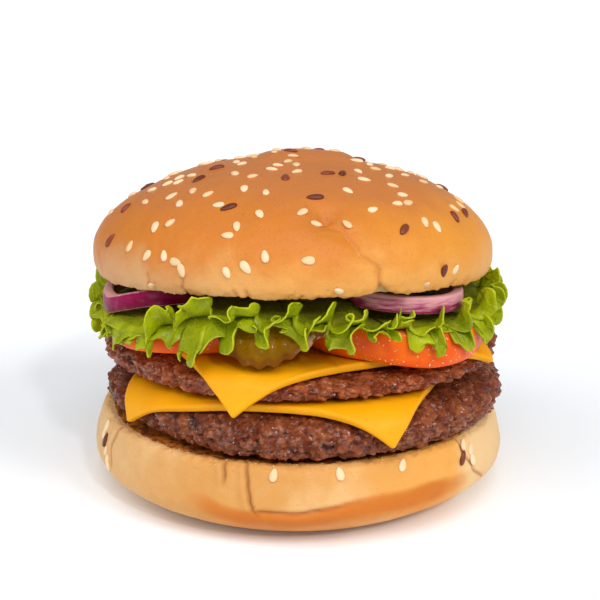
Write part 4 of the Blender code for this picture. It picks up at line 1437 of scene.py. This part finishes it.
def pickle_finish():
    finish = Finish("pickle", Coat_Roughness=0.10, Specular_IOR_Level=0.08)
    soft = finish.cloud(5.0, detail=3.0, bend=0.6)
    colour = finish.blend(soft.rise(0.3, 0.7), screen(122, 64, 0), screen(150, 88, 0))
    # Painted light: the top face is painted lighter, as lit from above
    colour = finish.blend(finish.read("level").rise(0.62, 0.9), colour, screen(160, 112, 0))
    colour = finish.blend(0.5 * finish.read("rind"), colour, screen(96, 56, 0))
    # Pale on the right part: partly the pulp's own colour and partly a painted highlight of its wet
    # shine
    pulpy = finish.across().rise(-2.0, 5.0) * finish.cloud(1.5, detail=4.0).rise(0.42, 0.62)
    colour = finish.blend(0.75 * pulpy, colour, screen(204, 172, 122))
    wet = finish.cloud(1.2, detail=3.0)
    coat = 0.5 * wet.rise(0.58, 0.68)
    return finish.surface(colour, 0.26 + 0.2 * wet, wet, depth=0.35, coat=coat)


pickle_slice = pickle("crinkled_pickle")
dress(pickle_slice, pickle_finish(), "pickle", "pickle_slice")

# %% [markdown]
# ## Lettuce
#
# A frilled leaf has more edge than it has room for, so its edge buckles. Each leaf here has two
# frills, one that stands up and one that hangs. Waves of falling size fold each of them: a large
# fold and a smaller ruffle, whose edges run in loops because every wave also goes in and out and to
# the sides, and small points along the very edge. Each point is then pushed clear of what the leaf
# hangs round, and a last wave is laid on along the leaf's own direction. The flat part of a leaf
# lies between the tomatoes and the onions.

# %% The leaf's measures
ONION_WALL = 3.0
ONION_HEIGHT = 4.8
# Each ring: x and y of its centre, and its radius
ONION_LEFT = (-32.4, -18.6, 19.2)
ONION_RIGHT = (24.0, -25.5, 18.0)
LEAF_THICKNESS = 0.6
THIN_LEAF = 0.38  # the leaf as it looks, thinner than the solid
CLEAR = 0.72  # room kept between the middle of a leaf and what it hangs round
LEAF_LOWEST = 46.0
LEAF_FURTHEST = 59.0
LEAF_ROUND = 55.0  # lengths along a frill are measured on this radius
FOLD_LENGTH = 10.4
RUFFLE, RUFFLE_LENGTH = 1.7, 4.5  # how high and how long the smaller ruffle is
FULL_RUFFLE = 2.4  # where the large fold is lower than this, the ruffle shrinks with it
# (azimuth, value) keys: how far out the ruffled edge reaches, and where the ruffle starts
LEAF_REACH = (
    (-180, 56.5), (-162, 57.5), (-145, 58.5), (-120, 58), (-105, 57), (-75, 57), (-60, 57),
    (-42, 58), (-22, 56.3), (-5, 54), (30, 54), (60, 55), (120, 55), (160, 55),
)
LEAF_ROOT = (
    (-180, 47), (-155, 49.5), (-130, 49.5), (-108, 47), (-75, 47), (-60, 49), (-40, 50.5),
    (-22, 49), (-5, 46.5),
)
print("the large fold repeats every", FOLD_LENGTH, "mm")

# %% Where a leaf may be
def leaf_floor(x, y):
    """Mid height of the flat part of a leaf, over the tomatoes, the pickle or the cheese."""
    floor = tomato_top(x, y) + GAP + LEAF_THICKNESS / 2 + 0.2 - 4.5 * smooth(2, 38, y)
    floor += sag(x, y) * smooth(2, 20, y)
    above = pickle_middle(x, y) + 0.5 * PICKLE_THICKNESS + 0.45 + GAP + LEAF_THICKNESS / 2
    from_pickle = math.hypot(x - PICKLE_CENTRE[0], y - PICKLE_CENTRE[1]) - PICKLE_RADIUS
    return mix(max(floor, above), floor, smooth(2.5, 8.0, from_pickle))


def between_leaf_and_bun(height, x, y):
    """The mid height that an onion ring would have, kept over the leaf and under the top bun."""
    lowest = leaf_floor(x, y) + 0.5 * (LEAF_THICKNESS + ONION_HEIGHT) + GAP + 0.15
    highest = crown_bottom(x, y) - 0.5 * ONION_HEIGHT - GAP
    return min(max(height, lowest), highest)


def left_onion_middle(x, y):
    droop = 0.05 * max(0.0, -38.0 - x) ** 1.5
    return between_leaf_and_bun(58.8 + 0.10 * (x + 32) - 0.17 * (y + 21) - droop, x, y)


def right_onion_middle(x, y):
    return between_leaf_and_bun(60.2 - 0.09 * (x - 24) - 0.06 * (y + 25.5), x, y)


def settle(point):
    """Moves a point of a leaf, the short way, clear of the bun and of the toppings."""
    x, y, z = point
    for _ in range(2):
        # Each disc: centre, radius, how far z is inside it, and whether up (1) or down (-1) is free
        discs = [(*CROWN_CENTRE, CROWN_RADIUS + 0.2, z - crown_bottom(x, y), -1)]
        for ring, middle in ((ONION_LEFT, left_onion_middle), (ONION_RIGHT, right_onion_middle)):
            discs.append((*ring[:2], ring[2] * 1.03, z - (middle(x, y) - 0.5 * ONION_HEIGHT), -1))
        top = pickle_middle(x, y) + 0.5 * PICKLE_THICKNESS + 0.45
        discs.append((*PICKLE_CENTRE, PICKLE_RADIUS, top - z, 1))
        for centre in TOMATO_CENTRES:
            widest = TOMATO_RADIUS * (1 + TOMATO_ANGULAR) + 0.4
            discs.append((*centre, widest, tomato_top(x, y) - z, 1))
        for cx, cy, radius, depth, free in discs:
            across = math.hypot(x - cx, y - cy)
            radius += CLEAR
            inside = radius - across
            depth += CLEAR
            if inside <= 0 or depth <= 0:
                continue
            if inside < depth:
                x, y = cx + (x - cx) * radius / across, cy + (y - cy) * radius / across
            else:
                z += free * depth
    return x, y, z


# %% Shape of the leaf
FRILL_STEPS = 26  # steps from the root of a frill to its edge
FLAT_RADII = (1.5, 8, 13.5, 18, 23, 28, 34, 39, 43)  # rings of the flat part
# The keys of the two frills: azimuth, mid height of the edge, and how far the large fold waves up
# and down
FRILLS = {
    "standing": (
        (-180, 53.5, 3.0), (-171, 53.0, 2.6), (-163, 49.5, 1.0), (-136, 50.0, 1.2),
        (-127, 60.0, 3.2), (-120, 62.0, 3.4), (-108, 62.5, 2.8), (-95, 62.0, 2.6),
        (-80, 61.5, 2.6), (-70, 60.0, 2.2), (-61, 58.5, 3.0), (-50, 56.5, 2.4),
        (-40, 57.5, 3.2), (-28, 58.0, 3.2), (-14, 56.0, 2.8), (0, 54.0, 2.8),
        (20, 51.5, 2.6), (60, 49.5, 2.0), (120, 49.5, 2.0), (160, 52.0, 2.6),
    ),
    "hanging": (
        (-180, 49.0, 3.0), (-168, 48.0, 2.6), (-158, 47.5, 2.0), (-146, 48.3, 2.0),
        (-134, 49.6, 1.9), (-122, 49.9, 1.9), (-112, 52.3, 2.2), (-104, 57.5, 2.4),
        (-95, 58.0, 2.2), (-87, 57.0, 2.6), (-78, 54.8, 2.6), (-70, 56.5, 2.4),
        (-62, 57.0, 2.0), (-53, 52.5, 3.0), (-43, 51.0, 3.0), (-33, 51.5, 2.6),
        (-20, 50.5, 3.0), (0, 50.0, 3.0), (20, 49.0, 2.6), (60, 47.5, 1.6),
        (120, 47.5, 1.6), (160, 48.5, 2.6),
    ),
}
EDGE_HEIGHT = {frill: [key[:2] for key in keys] for frill, keys in FRILLS.items()}
EDGE_FOLD = {frill: [(key[0], key[2]) for key in keys] for frill, keys in FRILLS.items()}
ROOT_DROP = {"standing": 0.6, "hanging": 0.0}  # the roots lie one under the other
NOISE_SHIFT = {"standing": 100, "hanging": 0}  # so that the two frills fold differently


def leaf_point(azimuth, out, frill):
    """A point of a frill. out runs from 0 at the root to 1 at the edge, which runs in loops."""
    shift = NOISE_SHIFT[frill]
    start = keyed(LEAF_ROOT, azimuth)
    root = leaf_floor(*polar(start, azimuth)) - ROOT_DROP[frill]
    along = 2 * math.pi * LEAF_ROUND * azimuth / 360.0
    fold_height = keyed(EDGE_FOLD[frill], azimuth)
    large = 2 * math.pi * along / FOLD_LENGTH + 3.8 * lumps((along, shift, 0), 19, 5)
    fold = fold_height * (1 + 0.6 * lumps((along, 9, shift), 12, 6)) * out**1.4
    small = 2 * math.pi * along / RUFFLE_LENGTH + 3.0 * lumps((along, 20, shift), 9, 82)
    loops = RUFFLE * (1 + 0.8 * lumps((along, 30, shift), 7, 83)) * out**2.2
    loops *= min(1.0, fold_height / FULL_RUFFLE)
    tips = 0.9 * out**5 * lumps((along, 40, shift), 1.5, 84)
    # Each wave goes in and out a quarter turn after it goes up and down, so the edge runs in loops
    height = mix(root, keyed(EDGE_HEIGHT[frill], azimuth), out**1.2)
    height += fold * math.sin(large) + loops * math.sin(small) + tips
    edge = keyed(LEAF_REACH, azimuth) - 0.4 + 1.2 * lumps((along, 0, 9 + shift), 18, 7)
    reach = mix(start, edge, out**0.6)
    reach += 0.75 * fold * (math.cos(large) - 0.4) + 0.9 * loops * (math.cos(small) - 0.3)
    swing = -0.13 * FOLD_LENGTH * out * math.sin(2 * large)
    swing -= 0.11 * RUFFLE_LENGTH * out**2 * math.sin(2 * small)
    height = max(height, LEAF_LOWEST + 0.8 * lumps((along, 3 * out, 50), 3.0, 85))
    x, y = polar(min(reach, LEAF_FURTHEST), azimuth + math.degrees(swing / reach))
    return settle((x, y, height)) if out > 0 else (x, y, height)


def leaf(name, start, end, step=0.38):
    """A leaf between two azimuths: a flat part that runs in to the centre, and two frills."""
    count = round((end - start) / 360 * 2 * math.pi * LEAF_ROUND / step)
    azimuths = [mix(start, end, i / count) for i in range(count + 1)]
    flat = []
    for radius in FLAT_RADII:
        places = [polar(radius, azimuth) for azimuth in azimuths]
        flat.append([(*place, leaf_floor(*place)) for place in places])
    outs = [k / FRILL_STEPS for k in range(FRILL_STEPS + 1)]
    points, faces, out_values = [], [], []
    for frill in FRILLS:
        inner = flat if frill == "hanging" else []
        rows = inner + [[leaf_point(azimuth, out, frill) for azimuth in azimuths] for out in outs]
        first, wide = len(points), count + 1
        points += [point for row in rows for point in row]
        out_values += [out for out in [0.0] * len(inner) + outs for _ in range(wide)]
        for i in range(len(rows) - 1):
            for j in range(count):
                corner = first + i * wide + j
                faces.append((corner, corner + 1, corner + wide + 1, corner + wide))
    return mesh_object(name, points, faces, {"out": out_values})


def ruffle(made, seed):
    """Lays a last wave on along the leaf's own direction, more towards the edge."""
    mesh = made.data
    out_of = mesh.attributes["out"].data
    moved = []
    for vertex, out in zip(mesh.vertices, out_of):
        place = vertex.co / MM
        wave = (1.1 * lumps(place, 5.2, seed) + 0.45 * lumps(place, 2.0, seed + 1)) * out.value
        wave += 0.16 * lumps(place, 3.0, seed + 2)
        moved.append(vertex.co + vertex.normal * wave * MM)
    for vertex, place in zip(mesh.vertices, moved):
        vertex.co = place
    mesh.update()


# %% Finish and mesh of the leaves
def leaf_finish():
    finish = Finish("lettuce", Subsurface_Weight=0.30, Subsurface_Scale=1.5 * MM,
                    Subsurface_Radius=(0.8, 1.0, 0.05), Specular_IOR_Level=0.16,
                    Coat_Roughness=0.18)
    out = finish.read("out")
    soft = finish.cloud(7.0, detail=3.0)
    colour = finish.blend(soft.rise(0.3, 0.7), screen(128, 140, 0), screen(168, 178, 6))
    # Painted shade: darker green towards the root, in the shade under the bun and between the frills
    inner = 1 - (out + 0.3 * (soft - 0.5)).rise(0.0, 0.5)
    colour = finish.blend(inner, colour, screen(112, 120, 18))
    veins = 1 - finish.cells(4.4, "DISTANCE_TO_EDGE").rise(0.0, 0.10)
    small = 1 - finish.cells(1.8, "DISTANCE_TO_EDGE").rise(0.0, 0.12)
    colour = finish.blend(0.16 * veins + 0.06 * small, colour, screen(190, 192, 60))
    # Painted highlight: a thin lighter line along the very edge, where it catches the light
    colour = finish.blend(0.45 * out.rise(0.965, 1.0), colour, screen(196, 202, 40))
    fine = finish.cloud(0.8, detail=3.0)
    height = 0.5 * veins + 0.35 * small + 0.5 * fine
    wet = finish.cloud(3.0, detail=2.0).rise(0.5, 0.65)
    return finish.surface(colour, 0.36 + 0.16 * fine, height, depth=0.16, coat=0.4 * wet)


LETTUCE = leaf_finish()
for side_name, start, end, seed in (("left", -260.0, -64.5, 81), ("right", -63.0, 98.5, 91)):
    made = leaf(f"{side_name}_leaf", start, end)
    ruffle(made, seed)
    thicken(made, THIN_LEAF)
    dress(made, LETTUCE, "lettuce", f"lettuce_{side_name}")

# %% [markdown]
# ## Red onion
#
# Two rings of red onion. Only the outer skin is purple: the cut faces are nearly white, with a pink
# stain next to the skin. A ring is a small section carried round a circle, and the section's own
# measures, how far in and how far up a point lies, are kept for the finish.

# %% Finish and mesh of the rings
SECTION_STEPS = 28
SQUARENESS = 0.42  # below 1 for a section squarer than an ellipse


def onion_finish(name, dark, light, streaky):
    """Skin in streaks from dark to light round the ring, with painted light that makes it lighter
    towards the top, and pale cut faces and a pale inside.
    """
    finish = Finish(name, Subsurface_Weight=0.06, Subsurface_Scale=1.0 * MM, Coat_Roughness=0.10,
                    Subsurface_Radius=(1.0, 0.4, 0.5), Specular_IOR_Level=0.10)
    inset, level = finish.read("inset"), finish.read("level")
    grain = finish.cloud(1.0, detail=3.0, place=finish.place((7.0, 7.0, 1.0)))
    # Painted light: the skin is painted lighter towards the top of the ring, as lit from above
    share = grain + 0.22 * level + (streaky - 0.5)
    skin_colour = finish.blend(share.rise(0.35, 0.65), screen(*dark), screen(*light))
    rim = level.maths("ABSOLUTE", level, 0.0) + 0.25 * (finish.cloud(1.2) - 0.5)
    pale = finish.blend(finish.cloud(2.0), screen(214, 170, 160), screen(206, 136, 146))
    colour = finish.blend(rim.rise(0.80, 0.97), skin_colour, pale)
    colour = finish.blend((inset + 0.3 * (grain - 0.5)).rise(0.12, 0.30), colour, pale)
    wet = finish.cloud(1.6, detail=3.0)
    coat = 0.35 * wet.rise(0.5, 0.65)
    return finish.surface(colour, 0.26 + 0.16 * wet, wet, depth=0.14, coat=coat)


def squared(value):
    """A sine or cosine made squarer."""
    return math.copysign(abs(value) ** SQUARENESS, value)


def onion(name, ring, middle, sides=260):
    """A ring whose section lies inside its outer radius, with how far in and up each point is."""
    centre, radius = ring[:2], ring[2]
    section = []
    for k in range(SECTION_STEPS):
        turn = 2 * math.pi * k / SECTION_STEPS
        inset = 0.5 * ONION_WALL * (squared(math.cos(turn)) - 1)
        section.append((inset, squared(math.sin(turn))))
    points, faces, inset_of, level_of = [], [], [], []
    for i in range(sides):
        azimuth = 360 * i / sides
        wide = radius * (1 + 0.03 * math.cos(math.radians(2 * azimuth + 40)))
        wide += 0.15 * lumps((*polar(12, azimuth), 0), 5, 95)
        for inset, level in section:
            x, y = polar(wide + inset, azimuth, centre)
            rise = 0.5 * ONION_HEIGHT * level * (0.97 + 0.03 * inset)
            points.append((x, y, middle(x, y) + rise))
            inset_of.append(-inset / ONION_WALL)
            level_of.append(level)
    for i in range(sides):
        here, there = i * SECTION_STEPS, (i + 1) % sides * SECTION_STEPS
        for k in range(SECTION_STEPS):
            m = (k + 1) % SECTION_STEPS
            faces.append((here + k, here + m, there + m, there + k))
    made = mesh_object(name, points, faces, {"inset": inset_of, "level": level_of})
    face_outwards(made)
    return made


left_ring = onion("left_onion_ring", ONION_LEFT, left_onion_middle)
right_ring = onion("right_onion_ring", ONION_RIGHT, right_onion_middle)
# The right ring's skin is paler and pinker than the left's: partly the rings' own colours and partly
# painted light, lit at the right and shaded at the left
deep_skin = onion_finish("deep_red_onion_partly_shaded", (118, 0, 50), (150, 6, 76), 0.45)
pink_skin = onion_finish("pink_onion_partly_lit", (158, 46, 92), (222, 156, 162), 0.50)
dress(left_ring, deep_skin, "red_onion", "onion_left")
dress(right_ring, pink_skin, "red_onion", "onion_right")

# %% [markdown]
# ## The set
#
# The floor is a plain pale sheet, large enough to fill the picture. It takes the burger's soft
# shadow.

# %% Floor
FLOOR_REACH = 12000.0
FLOOR_HEIGHT = -0.05


def floor_finish():
    finish = Finish("pale_paper", Specular_IOR_Level=0.1, Emission_Strength=0.05,
                    Emission_Color=(1.0, 1.0, 1.0, 1.0))
    colour = finish.blend(finish.cloud(60.0), screen(248, 251, 255), screen(246, 250, 255))
    return finish.surface(colour, 0.9)


ways = ((-1, -1), (1, -1), (1, 1), (-1, 1))
corners = [(x * FLOOR_REACH, y * FLOOR_REACH, FLOOR_HEIGHT) for x, y in ways]
floor = mesh_object("floor", corners, [(0, 1, 2, 3)], {})
floor.data.materials.append(floor_finish())
floor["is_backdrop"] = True
print("floor:", round(2 * FLOOR_REACH * MM, 1), "m across")

# %% [markdown]
# ## Sizes of the two boxes
#
# The box of the visual model and the box of the solids are both kept, and their sizes are printed
# side by side. The visual model has to stay inside the box of the solids, apart from a few percent,
# so both boxes are kept.

# %% Keep both boxes
looks_box = [list(corner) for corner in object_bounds()]
for axis, title in enumerate("XYZ"):
    sizes = [1000 * (box[1][axis] - box[0][axis]) for box in (SOLIDS_BOX, looks_box)]
    print(title, "solids", round(sizes[0], 1), "mm, looks", round(sizes[1], 1), "mm")
